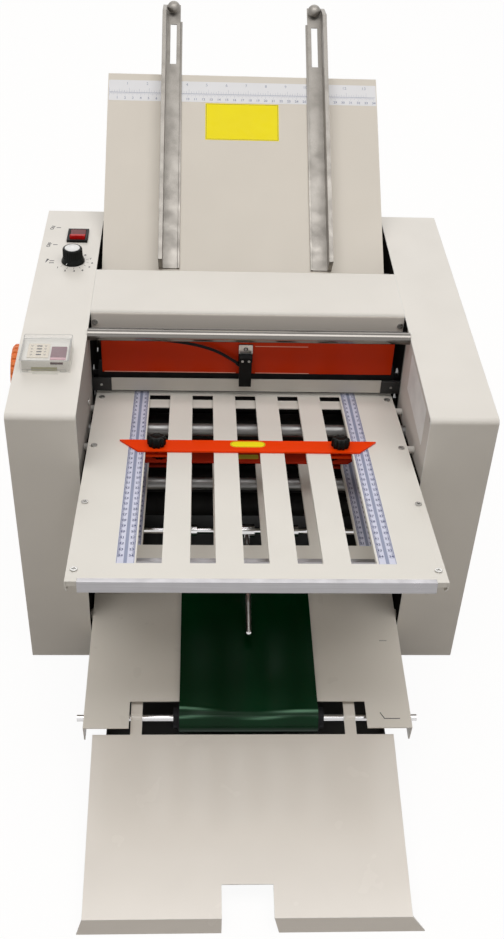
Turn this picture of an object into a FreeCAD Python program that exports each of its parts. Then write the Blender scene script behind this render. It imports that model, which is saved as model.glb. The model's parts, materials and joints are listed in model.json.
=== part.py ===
import FreeCAD, Part
import math
import os

# Paper folding machine for a table top, in millimetres.
# Bench frame: X to the right, Y from the front to the rear, Z up. Y is zero at the front of the housings
# and Z is zero on the table. The finished pieces are moved so that the origin is the bottom centre.
Vector = FreeCAD.Vector
X_AXIS = Vector(1, 0, 0)
Y_AXIS = Vector(0, 1, 0)
Z_AXIS = Vector(0, 0, 1)

# Overall
MACHINE_W = 499.0
HOUSING_W = 71.0
HOUSING_D = 441.0
HOUSING_H = 352.5
HOUSING_EDGE_R = 5.5
FOOT_H = 4.0
SHEET = 1.5
OVERRUN = 5.0
SLIP = 0.2
RUN_FIT = 0.05
FACE_GAP = 0.3

# Frame
SIDE_PLATE_T = 6.0
BASE_T = 1.5
BASE_LIP_H = 18.0
PAN_TONGUE_REACH = 150.0
PAN_TONGUE_SIDE_GAP = 24.0
PAN_TONGUE_LIP_H = 10.0
FOOT_R = 13.0
FOOT_INSET = 34.0
TIE_R = 7.0
TIE_FROM_REAR = 65.0
FEED_TIE_AT = 280.0

# Fold plates, along the slope from the front edge to the rear
PLATE_SLOPE_DEG = 9.13
PLATE_X = -1.9
PLATE_FRONT_Y = -197.6
PLATE_FRONT_Z = 322.8
PLATE_SIDE_GAP = 6.5
PLATE_LENGTH = 380.0
PLATE_GAP = 2.5
PLATE_BOTTOM_T = 1.2
PLATE_FLANGE_FRONT_H = 15.0
PLATE_FLANGE_REAR_H = 11.0
PLATE_RIM_W = 12.0
BOTTOM_SHORTER = 14.0
BOTTOM_SLOT_MARGIN = 19.0
LOWER_PLATE_SET_BACK = 115.5
SLOT_COUNT = 5
SLOT_W = 23.5
SLOT_PITCH_SHARE = 0.14302
SLOT_FRONT_MARGIN = 29.0
SLOT_REAR_MARGIN = 9.0
PLATE_STUD_R = 4.0
PLATE_STUD_DEPTH = 6.0
PLATE_STUD_FROM_REAR = (35.0, 125.0)
PLATE_SCREW_R = 1.9
PLATE_SCREW_HEAD_R = 3.4
PLATE_SCREW_HEAD_H = 1.3
PLATE_SCREW_EDGE = 7.0
PLATE_SCREW_END = 18.0
PLATE_SCREW_COUNT = 4
PROFILE_SET_IN = 11.0
PROFILE_FACE = 2.0
PROFILE_LIP_T = 0.8
PROFILE_TOP_LIP = 4.0
PROFILE_H = 11.5
PROFILE_FOOT = 7.0

# Paper stops
STOP_BAR_REAR_OVERHANG = 40.1
STOP_BAR_FRONT_OVERHANG = 19.6
STOP_BAR_D = 24.0
STOP_BAR_T = 2.0
STOP_FINGER_W = 10.0
STOP_FINGER_T = 2.0
STOP_NUT_W = 34.0
STOP_NUT_D = 14.0
STOP_NUT_T = 3.0
STOP_KNOB_R = 10.0
STOP_KNOB_H = 11.0
STOP_KNOB_FLUTES = 10
STOP_KNOB_FLUTE_R = 1.6
STOP_SHANK_R = 2.5
UPPER_STOP_AT = 245.5
LOWER_STOP_AT = 208.0
SECOND_STOP_AT = 130.0
FOURTH_STOP_AT = 88.0

# Fold rollers
ROLLER_R = 16.4
ROLLER_PITCH = 33.0
ROLLER_SIDE_GAP = 6.5
ROLLER_SHAFT_R = 5.0
NIP_REACH = 16.0
FOLD_TURN_DEG = 50.7
PINION_TEETH = 22
PINION_W = 8.0
PINION_SETBACK = 3.0
PINION_ADDENDUM = 1.1
PINION_DEDENDUM = 1.7
PINION_BACKLASH = 0.35
TOOTH_TIP_SHARE = 0.16
BEARING_R = 11.0

# Rear fold plates
REAR_PLATE_SLOPE_DEG = 48.0
REAR_PLATE_REACH = 17.0
SECOND_PLATE_LENGTH = 236.0
FOURTH_PLATE_LENGTH = 170.0

# Hand wheel
HAND_WHEEL_R = 33.5
HAND_WHEEL_T = 14.0
HAND_WHEEL_OFFSET = 7.0
HAND_WHEEL_NOTCHES = 24
HAND_WHEEL_NOTCH_R = 2.6
HAND_WHEEL_HOLE_R = 8.0
HAND_WHEEL_RIM_CHAMFER = 2.5
HAND_WHEEL_DISH_R = 24.0
HAND_WHEEL_DISH_T = 5.0

# Feed table, along its slope from the top edge downwards
TABLE_SLOPE_DEG = 34.3
TABLE_X = -1.75
TABLE_TOP_Y = 552.5
TABLE_TOP_Z = 495.2
TABLE_SIDE_GAP = 5.5
TABLE_LENGTH = 341.0
TABLE_FLANGE_H = 14.0
TABLE_STUD_R = 4.0
TABLE_STUDS_FROM_END = (41.0, 11.0)

# Feed roller and separator
FEED_ROLLER_R = 18.0
FEED_ROLLER_AT = 366.0
FEED_RING_W = 34.0
FEED_RING_GAP = 34.0
FEED_SHAFT_R = 6.0
SEPARATOR_W = 60.0
SEPARATOR_D = 26.0
SEPARATOR_T = 9.0
SEPARATOR_GAP = 1.0
SEPARATOR_STEM_R = 5.0

# Paper guides
GUIDE_LENGTH = 380.0
GUIDE_RISE = 105.0
GUIDE_BASE_W = 18.0
GUIDE_BASE_T = 1.6
GUIDE_WALL_T = 5.0
GUIDE_WALL_H = 26.0
GUIDE_WALL_BACK = 28.0
GUIDE_LIP_W = 2.5
GUIDE_LIP_H = 3.0
GUIDE_LIP_BACK = 27.0
GUIDE_X_SHARE = 0.2659
GUIDE_SLOT_W = 8.0
GUIDE_SLOT_TOP = 30.0
GUIDE_SLOT_LENGTH = 60.0
GUIDE_DOME_R = 8.4
GUIDE_DOME_STEM_R = 3.0
GUIDE_DOME_STEM_H = 5.0
GUIDE_HOOK_D = 12.0
GUIDE_HOOK_T = 2.0
GUIDE_HOOK_H = 18.0

# Cover, cross bar, guard and rest strip
COVER_FRONT_Y = 196.0
COVER_REAR_Y = 292.0
COVER_TOP_Z = 358.5
COVER_FRONT_H = 25.0
COVER_REAR_H = 8.0
COVER_EDGE_R = 4.0
BAR_R = 6.6
BAR_Y = 154.5
BAR_Z = 354.0
GUARD_SIDE_GAP = 12.5
GUARD_Y = 171.0
GUARD_T = 3.0
GUARD_BOTTOM_Z = 294.0
GUARD_TOP_Z = 352.0
GUARD_EAR_BOTTOM_Z = 341.0
STRIP_BRACKET_W = 22.5
STRIP_Y = 171.5
STRIP_T = 1.5
STRIP_BOTTOM_Z = 268.0
STRIP_TOP_Z = 285.0
STRIP_BRACKET_T = 3.0

# Paper sensor
SENSOR_X = -3.1
SENSOR_BRACKET_W = 16.0
SENSOR_BRACKET_T = 1.5
SENSOR_BRACKET_TOP_Z = 334.0
SENSOR_BRACKET_BOTTOM_Z = 310.0
SENSOR_BODY_W = 14.0
SENSOR_BODY_D = 9.0
SENSOR_BODY_TOP_Z = 321.5
SENSOR_BODY_BOTTOM_Z = 283.0
CABLE_R = 1.7
CABLE_GLAND_R = 2.7
CABLE_GLAND_OUT = 3.0
CABLE_SETBACK = 5.5
CABLE_EXIT_OUT = 7.1
CABLE_RUN_SHARES = (0.0, 0.147, 0.296, 0.504, 0.742, 1.0)
CABLE_HEIGHTS = (310.7, 328.0, 336.6, 342.0, 345.0, 345.0)
BEND_SHARE = 0.45

# Delivery table, along its slope from the front edge to the rear
DELIVERY_SLOPE_DEG = 3.24
DELIVERY_REAR_Y = 107.6
DELIVERY_REAR_Z = 75.0
DELIVERY_SIDE_GAP = 3.0
DELIVERY_LENGTH = 260.0
DELIVERY_FLANGE_H = 24.0
DELIVERY_FLANGE_SLANT = 2.0
DELIVERY_EAR_W = 48.25
DELIVERY_NOTCH_D = 34.4
BELT_OPENING_GAP = 4.0
DELIVERY_REAR_NOTCH_D = 44.0
DELIVERY_PAD_R = 6.0
DELIVERY_PADS_FROM_REAR = (92.0, 44.0)
AXLE_AT = 21.1
AXLE_DROP = 12.0
AXLE_R = 3.7
AXLE_OVERHANG = 8.3
REAR_AXLE_FROM_REAR = 23.1
BELT_ROLLER_R = 14.0
BELT_ROLLER_W_SHARE = 0.433
BELT_SET_IN = 1.5
BELT_T = 1.2
BELT_X = 0.6
END_RING_R = 11.0
END_RING_W = 5.0

# Press rod and cross rod
CROSS_ROD_Y = 88.9
CROSS_ROD_Z = 124.0
CROSS_ROD_R = 4.0
PRESS_X = 2.5
PRESS_ROD_R = 3.5
PRESS_ROD_LENGTH = 137.0
PRESS_ROD_SLOPE_DEG = 16.9
PRESS_HUB_R = 8.0
PRESS_HUB_W = 18.0
PRESS_COLLAR_R = 7.0
PRESS_COLLAR_W = 7.0
PRESS_COLLAR_X = 60.0
PRESS_WHEEL_Y = 48.0
PRESS_WHEEL_R = 12.0
PRESS_WHEEL_W = 8.0
PRESS_WHEEL_AXLE_R = 2.0
PRESS_ARM_W = 10.0
PRESS_ARM_D = 12.0

# Catch tray, along its slope from the hooks to the front
TRAY_SLOPE_DEG = 8.4
TRAY_X = -4.8
TRAY_SET_IN = 14.5
TRAY_TAPER = 2.5
TRAY_REAR_OUT = 22.0
TRAY_REAR_UP = 2.0
TRAY_LENGTH = 197.0
TRAY_LIP_OUT = 3.0
TRAY_EAR_LEFT = 6.0
TRAY_EAR_RIGHT = 14.0
TRAY_LIP_SLANT = 5.0
TRAY_SIDE_LIP_H = 5.0
TRAY_NOTCH_W = 50.5
TRAY_NOTCH_D = 33.5
HOOK_W = 12.4
HOOK_FROM_EAR = 12.25
HOOK_T = 1.5

# Drive
MOTOR_R = 36.0
MOTOR_LENGTH = 120.0
MOTOR_Y = 396.0
MOTOR_Z = 76.0
MOTOR_SHAFT_R = 5.0
MOTOR_PULLEY_R = 14.0
DRIVE_PULLEY_R = 24.0
PULLEY_W = 11.0
PULLEY_SETBACK = 18.0
CONVEYOR_PULLEY_R = 11.0
SIDE_PULLEY_SETBACK = 4.0
FEED_PULLEY_R = 13.0
FEED_PULLEY_SETBACK = 20.0
DRIVE_BELT_T = 2.0

# Control panel
SWITCH_OFFSET = 7.2
SWITCH_FROM_REAR = 68.0
SWITCH_W = 25.5
SWITCH_D = 31.0
SWITCH_FRAME = 3.2
SWITCH_FRAME_H = 3.0
SWITCH_BOX_DEPTH = 14.0
ROCKER_DOME_H = 2.2
ROCKER_DEPTH = 7.0
ROCKER_TILT_DEG = 8.0
KNOB_OFFSET = 6.5
KNOB_FROM_REAR = 130.0
KNOB_BASE_R = 14.0
KNOB_BASE_H = 4.0
KNOB_R = 12.6
KNOB_TOP_R = 11.6
KNOB_H = 18.0
KNOB_FLUTES = 30
KNOB_FLUTE_R = 0.8
KNOB_CAP_R = 9.0
KNOB_CAP_H = 1.0
KNOB_SHAFT_R = 3.0
KNOB_SHAFT_DEPTH = 12.0
COUNTER_OFFSET = -2.2
COUNTER_Y = 98.8
COUNTER_W = 52.2
COUNTER_D = 46.6
COUNTER_H = 16.5
COUNTER_CASE_H = 13.6
COUNTER_FRONT_GAP = 2.2
COUNTER_REAR_GAP = 0.8
COUNTER_COVER_T = 1.2
COUNTER_FACE_T = 1.2
KEYPAD_W = 22.4
KEYPAD_D = 26.0
KEYPAD_X = -8.0
KEYPAD_Y = -2.6
WINDOW_W = 16.2
WINDOW_D = 24.4
WINDOW_X = 13.4
WINDOW_Y = -7.2
COVER_TAB_W = 27.0
COVER_TAB_D = 2.5
COVER_BARREL_R = 1.6
COVER_BARREL_OUT = 1.2
COVER_PIN_R = 0.6
COVER_LUG_W = 3.0
CASE_SCREW_R = 3.2
CASE_SCREW_H = 1.5
CASE_SCREW_SET_IN = 4.5
CASE_SCREW_DROP = 14.0

# Worked out once from the sizes above
HALF_W = MACHINE_W / 2
WALL_X = HALF_W - HOUSING_W
TOP_Z = FOOT_H + HOUSING_H
PANEL_MIDDLE_X = HOUSING_W / 2 - HALF_W
SWITCH_X = PANEL_MIDDLE_X + SWITCH_OFFSET
SWITCH_Y = HOUSING_D - SWITCH_FROM_REAR
KNOB_X = PANEL_MIDDLE_X + KNOB_OFFSET
KNOB_Y = HOUSING_D - KNOB_FROM_REAR
COUNTER_X = PANEL_MIDDLE_X + COUNTER_OFFSET
PLATE_W = (WALL_X - PLATE_SIDE_GAP) * 2
PROFILE_W = PLATE_W - PROFILE_SET_IN * 2
SLOT_PITCH = PLATE_W * SLOT_PITCH_SHARE
TABLE_W = (WALL_X - TABLE_SIDE_GAP) * 2
GUIDE_X = TABLE_W * GUIDE_X_SHARE
ROLLER_HALF_W = WALL_X - ROLLER_SIDE_GAP
GUARD_W = (WALL_X - GUARD_SIDE_GAP) * 2
STRIP_W = (WALL_X - STRIP_BRACKET_W) * 2
DELIVERY_W = (WALL_X - DELIVERY_SIDE_GAP) * 2
DELIVERY_NOTCH_W = DELIVERY_W - DELIVERY_EAR_W * 2
BELT_ROLLER_W = DELIVERY_W * BELT_ROLLER_W_SHARE
BELT_W = BELT_ROLLER_W - BELT_SET_IN * 2
DELIVERY_REAR_NOTCH_W = BELT_ROLLER_W + BELT_OPENING_GAP * 2
REAR_AXLE_AT = DELIVERY_LENGTH - REAR_AXLE_FROM_REAR
TRAY_W = DELIVERY_W - TRAY_SET_IN * 2
TRAY_FRONT_W = TRAY_W - TRAY_TAPER * 2
HOOK_X = DELIVERY_NOTCH_W / 2 - HOOK_FROM_EAR
PLATE_T = SHEET + PLATE_GAP + PLATE_BOTTOM_T
TIE_DROP = PLATE_T + FACE_GAP + STOP_NUT_T + FACE_GAP + TIE_R
NIP_DROP = SHEET + PLATE_GAP / 2
PINION_X = WALL_X + SIDE_PLATE_T + PINION_SETBACK
DRIVE_PULLEY_X = WALL_X + SIDE_PLATE_T + PULLEY_SETBACK
CONVEYOR_PULLEY_X = WALL_X + SIDE_PLATE_T + SIDE_PULLEY_SETBACK
FEED_PULLEY_X = WALL_X + SIDE_PLATE_T + FEED_PULLEY_SETBACK
CABLE_Y = GUARD_Y - GUARD_T / 2 - CABLE_SETBACK
LOWER_PLATE_DROP = ROLLER_PITCH * (1 + math.cos(math.radians(FOLD_TURN_DEG - PLATE_SLOPE_DEG)))


def box(x0, x1, y0, y1, z0, z1):
    return Part.makeBox(x1 - x0, y1 - y0, z1 - z0, Vector(x0, y0, z0))


def rod_x(x0, x1, y, z, radius):
    return Part.makeCylinder(radius, x1 - x0, Vector(x0, y, z), X_AXIS)


def post(x, y, z0, z1, radius):
    return Part.makeCylinder(radius, z1 - z0, Vector(x, y, z0), Z_AXIS)


def ring_x(x0, x1, y, z, outer, inner):
    return rod_x(x0, x1, y, z, outer).cut(rod_x(x0, x1, y, z, inner))


def plate_of(points, direction):
    face = Part.Face(Part.makePolygon(points + [points[0]]))
    return face.extrude(direction)


def mirrored(shape):
    return shape.mirror(Vector(0, 0, 0), X_AXIS)


def fused(shapes):
    first, *rest = shapes
    return first.fuse(rest).removeSplitter() if rest else first


def group(shapes):
    return Part.makeCompound(shapes)


def about_x(x, y, z, angle):
    return FreeCAD.Placement(Vector(x, y, z), FreeCAD.Rotation(X_AXIS, angle))


def placed(shape, place):
    moved = shape.copy()
    moved.Placement = place.multiply(moved.Placement)
    return moved


# Frames of the sloped pieces: local Y runs along the slope towards the rear, local Z is square to it
UPPER_FRAME = about_x(PLATE_X, PLATE_FRONT_Y, PLATE_FRONT_Z, -PLATE_SLOPE_DEG)


def on_plate(along, height):
    return UPPER_FRAME.multVec(Vector(0, along, height))


def roller_centres():
    slope = math.radians(PLATE_SLOPE_DEG)
    turn = math.radians(FOLD_TURN_DEG)
    down = Vector(0, -math.sin(slope), -math.cos(slope)) * ROLLER_PITCH
    forward = Vector(0, -math.sin(turn), -math.cos(turn)) * ROLLER_PITCH
    centres = [on_plate(PLATE_LENGTH + NIP_REACH, -NIP_DROP) - down / 2]
    for step in (down, forward, down, forward, down):
        centres.append(centres[-1] + step)
    return centres


ROLLERS = roller_centres()
NIPS = [(a + b) / 2 for a, b in zip(ROLLERS, ROLLERS[1:])]
THIRD_NIP_ALONG = UPPER_FRAME.inverse().multVec(NIPS[2]).y
LOWER_PLATE_LENGTH = THIRD_NIP_ALONG - NIP_REACH - LOWER_PLATE_SET_BACK
LOWER_ORIGIN = on_plate(LOWER_PLATE_SET_BACK, -LOWER_PLATE_DROP)
LOWER_FRAME = about_x(PLATE_X, LOWER_ORIGIN.y, LOWER_ORIGIN.z, -PLATE_SLOPE_DEG)


def rear_frame(nip):
    slope = math.radians(REAR_PLATE_SLOPE_DEG)
    along = Vector(0, math.cos(slope), -math.sin(slope))
    square = Vector(0, math.sin(slope), math.cos(slope))
    start = nip + along * REAR_PLATE_REACH + square * NIP_DROP
    return about_x(PLATE_X, start.y, start.z, -REAR_PLATE_SLOPE_DEG)


SECOND_FRAME = rear_frame(NIPS[1])
FOURTH_FRAME = rear_frame(NIPS[3])
TABLE_FRAME = about_x(TABLE_X, TABLE_TOP_Y, TABLE_TOP_Z, TABLE_SLOPE_DEG)
DELIVERY_REAR_FRAME = about_x(0, DELIVERY_REAR_Y, DELIVERY_REAR_Z, DELIVERY_SLOPE_DEG)
DELIVERY_FRONT = DELIVERY_REAR_FRAME.multVec(Vector(0, -DELIVERY_LENGTH, 0))
DELIVERY_FRAME = about_x(0, DELIVERY_FRONT.y, DELIVERY_FRONT.z, DELIVERY_SLOPE_DEG)
AXLE = DELIVERY_FRAME.multVec(Vector(0, AXLE_AT, -AXLE_DROP))
REAR_AXLE = DELIVERY_FRAME.multVec(Vector(0, REAR_AXLE_AT, -AXLE_DROP))
FEED_AXIS = TABLE_FRAME.multVec(Vector(0, -FEED_ROLLER_AT, -FEED_ROLLER_R))
TRAY_FRAME = about_x(0, AXLE.y, AXLE.z, TRAY_SLOPE_DEG)


# Housings and frame
def housing_shell():
    inner = WALL_X
    outer = box(inner, HALF_W, 0, HOUSING_D, FOOT_H, TOP_Z)
    front_top = [e for e in outer.Edges if is_front_top(e)]
    outer = outer.makeFillet(HOUSING_EDGE_R, front_top)
    hollow = box(inner - OVERRUN, HALF_W - SHEET, SHEET, HOUSING_D - SHEET, FOOT_H - OVERRUN, TOP_Z - SHEET)
    front_top = [e for e in hollow.Edges if is_front_top(e)]
    hollow = hollow.makeFillet(HOUSING_EDGE_R - SHEET, front_top)
    return outer.cut(hollow)


def is_front_top(edge):
    box_of = edge.BoundBox
    along_x = box_of.XLength > HOUSING_W / 2
    return along_x and box_of.YMax < HOUSING_D / 2 and box_of.ZMin > HOUSING_H / 2


def left_housing():
    shell = mirrored(housing_shell())
    half_w = SWITCH_W / 2 - SWITCH_FRAME / 2
    half_d = SWITCH_D / 2 - SWITCH_FRAME / 2
    z0, z1 = TOP_Z - SHEET - OVERRUN, TOP_Z + OVERRUN
    switch_hole = box(SWITCH_X - half_w, SWITCH_X + half_w, SWITCH_Y - half_d, SWITCH_Y + half_d, z0, z1)
    knob_hole = post(KNOB_X, KNOB_Y, z0, z1, KNOB_SHAFT_R + RUN_FIT)
    wheel = ROLLERS[0]
    wheel_hole = rod_x(-HALF_W - OVERRUN, -HALF_W + SHEET + OVERRUN, wheel.y, wheel.z, HAND_WHEEL_HOLE_R)
    return shell.cut([switch_hole, knob_hole, wheel_hole])


def right_housing():
    return housing_shell()


def shaft_holes():
    x0, x1 = WALL_X - OVERRUN, WALL_X + SIDE_PLATE_T + OVERRUN
    bearings = [rod_x(x0, x1, c.y, c.z, BEARING_R) for c in ROLLERS + [FEED_AXIS, REAR_AXLE]]
    motor = rod_x(x0, x1, MOTOR_Y, MOTOR_Z, MOTOR_SHAFT_R + SLIP)
    return bearings, motor


def side_plates():
    bearings, motor = shaft_holes()
    z0 = FOOT_H + BASE_T
    plate = box(WALL_X, WALL_X + SIDE_PLATE_T, SHEET, HOUSING_D - SHEET, z0, TOP_Z - SHEET)
    reach = HOUSING_EDGE_R + SHEET
    corner = box(WALL_X, WALL_X + SIDE_PLATE_T, 0, reach, TOP_Z - reach, TOP_Z)
    plate = plate.cut(corner).cut(bearings)
    return group([mirrored(plate.cut(motor)), plate])


def base_pan():
    half = HALF_W - SHEET
    floor = box(-half, half, SHEET, HOUSING_D - SHEET, FOOT_H, FOOT_H + BASE_T)
    lips = []
    for y in (SHEET, HOUSING_D - SHEET - BASE_T):
        lips.append(box(-WALL_X, WALL_X, y, y + BASE_T, FOOT_H, FOOT_H + BASE_LIP_H))
    return fused([floor] + lips + pan_tongue())


# The tongue reaches forward under the delivery table and closes the view down through its notches.
def pan_tongue():
    side = WALL_X - PAN_TONGUE_SIDE_GAP
    front, rear = -PAN_TONGUE_REACH, SHEET + BASE_T
    top = FOOT_H + PAN_TONGUE_LIP_H
    sheet = box(-side, side, front, rear, FOOT_H, FOOT_H + BASE_T)
    front_lip = box(-side, side, front, front + BASE_T, FOOT_H, top)
    left_lip = box(-side, -side + BASE_T, front, rear, FOOT_H, top)
    right_lip = box(side - BASE_T, side, front, rear, FOOT_H, top)
    return [sheet, front_lip, left_lip, right_lip]


def rubber_feet():
    x = HALF_W - FOOT_INSET
    places = [(sx * x, y) for sx in (-1, 1) for y in (FOOT_INSET, HOUSING_D - FOOT_INSET)]
    return group([post(px, py, 0, FOOT_H, FOOT_R) for px, py in places])


def tie_rods():
    plates = [
        (UPPER_FRAME, PLATE_LENGTH), (LOWER_FRAME, LOWER_PLATE_LENGTH),
        (SECOND_FRAME, SECOND_PLATE_LENGTH), (FOURTH_FRAME, FOURTH_PLATE_LENGTH),
    ]
    places = [frame.multVec(Vector(0, length - TIE_FROM_REAR, -TIE_DROP)) for frame, length in plates]
    places.append(TABLE_FRAME.multVec(Vector(0, -FEED_TIE_AT, -SHEET - TIE_R)))
    return group([rod_x(-WALL_X, WALL_X, p.y, p.z, TIE_R) for p in places])


def roller_bearings():
    rings = []
    for centre in ROLLERS:
        rings += bearing_pair(centre, ROLLER_SHAFT_R)
    rings += bearing_pair(FEED_AXIS, FEED_SHAFT_R)
    rings += bearing_pair(REAR_AXLE, ROLLER_SHAFT_R)
    return group(rings)


def bearing_pair(centre, shaft_r):
    ring = ring_x(WALL_X, WALL_X + SIDE_PLATE_T, centre.y, centre.z, BEARING_R, shaft_r + RUN_FIT)
    return [ring, mirrored(ring)]


# Cover, cross bar, guard, rest strip and sensor
def top_cover():
    half = WALL_X - FACE_GAP
    outer = box(-half, half, COVER_FRONT_Y, COVER_REAR_Y, COVER_TOP_Z - COVER_FRONT_H, COVER_TOP_Z)
    edges = [e for e in outer.Edges if e.BoundBox.ZMin > COVER_TOP_Z - SHEET and e.BoundBox.XLength > half]
    outer = outer.makeFillet(COVER_EDGE_R, edges)
    hollow = box(-half + SHEET, half - SHEET, COVER_FRONT_Y + SHEET, COVER_REAR_Y - SHEET,
                 COVER_TOP_Z - COVER_FRONT_H - OVERRUN, COVER_TOP_Z - SHEET)
    under = box(-half - OVERRUN, half + OVERRUN, COVER_REAR_Y - COVER_EDGE_R - SHEET, COVER_REAR_Y + OVERRUN,
                COVER_TOP_Z - COVER_FRONT_H - OVERRUN, COVER_TOP_Z - COVER_REAR_H)
    cheek = cover_cheek_cut(half)
    return outer.cut([hollow, under] + cheek)


def cover_cheek_cut(half):
    points = [
        Vector(-half - OVERRUN, COVER_FRONT_Y + SHEET + COVER_FRONT_H, COVER_TOP_Z - COVER_FRONT_H - OVERRUN),
        Vector(-half - OVERRUN, COVER_REAR_Y, COVER_TOP_Z - COVER_FRONT_H - OVERRUN),
        Vector(-half - OVERRUN, COVER_REAR_Y, COVER_TOP_Z - COVER_REAR_H),
        Vector(-half - OVERRUN, COVER_FRONT_Y + SHEET + COVER_FRONT_H, COVER_TOP_Z - COVER_REAR_H),
    ]
    return [plate_of(points, X_AXIS * (half + OVERRUN) * 2)]


def front_bar():
    return rod_x(-WALL_X, WALL_X, BAR_Y, BAR_Z, BAR_R)


def red_guard():
    half = GUARD_W / 2
    y0, y1 = GUARD_Y - GUARD_T / 2, GUARD_Y + GUARD_T / 2
    panel = box(-half, half, y0, y1, GUARD_BOTTOM_Z, GUARD_TOP_Z)
    ears = box(-WALL_X, WALL_X, y0, y1, GUARD_EAR_BOTTOM_Z, GUARD_TOP_Z)
    return fused([panel, ears])


def rest_strip():
    half = STRIP_W / 2
    y0, y1 = STRIP_Y - STRIP_T / 2, STRIP_Y + STRIP_T / 2
    strip = box(-half, half, y0, y1, STRIP_BOTTOM_Z, STRIP_TOP_Z)
    bracket = box(half, WALL_X, y1 - STRIP_BRACKET_T, y1, STRIP_BOTTOM_Z, STRIP_TOP_Z)
    return group([strip, bracket, mirrored(bracket)])


def paper_sensor():
    guard_face = GUARD_Y - GUARD_T / 2
    half = SENSOR_BRACKET_W / 2
    y1 = guard_face
    y0 = y1 - SENSOR_BRACKET_T
    bracket = box(SENSOR_X - half, SENSOR_X + half, y0, y1, SENSOR_BRACKET_BOTTOM_Z, SENSOR_BRACKET_TOP_Z)
    body_half = SENSOR_BODY_W / 2
    body = box(SENSOR_X - body_half, SENSOR_X + body_half, y0 - SENSOR_BODY_D, y0,
               SENSOR_BODY_BOTTOM_Z, SENSOR_BODY_TOP_Z)
    start, heading = cable_start()
    inner_end = start - heading * CABLE_GLAND_OUT * 2
    gland = Part.makeCylinder(CABLE_GLAND_R, CABLE_GLAND_OUT * 2, inner_end, heading)
    return group([bracket, body.fuse(gland)])


def cable_points():
    exit_x = SENSOR_X - CABLE_EXIT_OUT
    run = WALL_X + exit_x
    return [Vector(exit_x - run * share, CABLE_Y, z) for share, z in zip(CABLE_RUN_SHARES, CABLE_HEIGHTS)]


def cable_start():
    first, second = cable_points()[:2]
    heading = (second - first).normalize()
    return first + heading * CABLE_GLAND_OUT, heading


def sensor_cable():
    start, heading = cable_start()
    return cable_tube([start] + cable_points()[1:], CABLE_R)


def cable_tube(points, radius):
    edges = []
    start = points[0]
    for before, corner, after in zip(points, points[1:], points[2:]):
        arm_in, arm_out = before - corner, after - corner
        reach = min(arm_in.Length, arm_out.Length) * BEND_SHARE
        first = corner + arm_in.normalize() * reach
        last = corner + arm_out.normalize() * reach
        half_turn = (math.pi - arm_in.getAngle(arm_out)) / 2
        bisector = (arm_in + arm_out).normalize()
        bend_r = reach / math.tan(half_turn)
        print("cable bend radius", round(bend_r, 1))
        middle = corner + bisector * (bend_r / math.cos(half_turn) - bend_r)
        edges += [Part.LineSegment(start, first).toShape(), Part.Arc(first, middle, last).toShape()]
        start = last
    edges.append(Part.LineSegment(start, points[-1]).toShape())
    path = Part.Wire(edges)
    section = Part.Wire(Part.makeCircle(radius, points[0], points[1] - points[0]))
    return path.makePipeShell([section], True, False)


# Fold plates
def slots(end, bottom, top):
    half = SLOT_W / 2
    first = -SLOT_PITCH * (SLOT_COUNT - 1) / 2
    centres = [first + SLOT_PITCH * i for i in range(SLOT_COUNT)]
    return [box(x - half, x + half, SLOT_FRONT_MARGIN, end, bottom, top) for x in centres]


def plate_screw_places(length):
    x = PLATE_W / 2 - PLATE_SCREW_EDGE
    step = (length - 2 * PLATE_SCREW_END) / (PLATE_SCREW_COUNT - 1)
    return [(sx * x, PLATE_SCREW_END + step * i) for sx in (-1, 1) for i in range(PLATE_SCREW_COUNT)]


def plate_screw_holes(length):
    z0 = -PLATE_T - OVERRUN
    return [post(x, y, z0, OVERRUN, PLATE_SCREW_R) for x, y in plate_screw_places(length)]


def stud_pair(start, offset, y, z, radius):
    return [rod_x(start, WALL_X - offset, y, z, radius), rod_x(-WALL_X - offset, -start, y, z, radius)]


def plate_top_sheet(length):
    half = PLATE_W / 2
    sheet = box(-half, half, 0, length, -SHEET, 0)
    side = [
        Vector(half - SHEET, 0, 0),
        Vector(half - SHEET, length, 0),
        Vector(half - SHEET, length, -PLATE_FLANGE_REAR_H),
        Vector(half - SHEET, PLATE_FLANGE_FRONT_H / 2, -PLATE_FLANGE_FRONT_H),
        Vector(half - SHEET, 0, -PLATE_FLANGE_FRONT_H / 2),
    ]
    flange = plate_of(side, X_AXIS * SHEET)
    studs = []
    for back in PLATE_STUD_FROM_REAR:
        studs += stud_pair(half - SHEET, PLATE_X, length - back, -PLATE_STUD_DEPTH, PLATE_STUD_R)
    whole = fused([sheet, flange, mirrored(flange)] + studs)
    tie = rod_x(-half, half, length - TIE_FROM_REAR, -TIE_DROP, TIE_R + RUN_FIT)
    openings = slots(length - SLOT_REAR_MARGIN, -PLATE_T - OVERRUN, OVERRUN)
    return whole.cut(openings + plate_screw_holes(length) + [tie])


def plate_bottom_sheet(length, slot_margin):
    half = PLATE_W / 2 - SHEET - SLIP
    end = length - BOTTOM_SHORTER
    sheet = box(-half, half, 0, end, -PLATE_T, -PLATE_T + PLATE_BOTTOM_T)
    rim = box(half - PLATE_RIM_W, half, 0, end, -PLATE_T, -SHEET)
    whole = fused([sheet, rim, mirrored(rim)])
    openings = slots(end - slot_margin, -PLATE_T - OVERRUN, OVERRUN)
    return whole.cut(openings + plate_screw_holes(length))


def plate_profile_bar():
    outline = [
        (-PROFILE_FACE, PROFILE_LIP_T), (PROFILE_TOP_LIP, PROFILE_LIP_T), (PROFILE_TOP_LIP, 0), (0, 0),
        (0, -PLATE_T), (PROFILE_FOOT, -PLATE_T), (PROFILE_FOOT, -PROFILE_H + PROFILE_LIP_T),
        (-PROFILE_FACE, -PROFILE_H + PROFILE_LIP_T),
    ]
    half = PROFILE_W / 2
    return plate_of([Vector(-half, y, z) for y, z in outline], X_AXIS * PROFILE_W)


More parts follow.
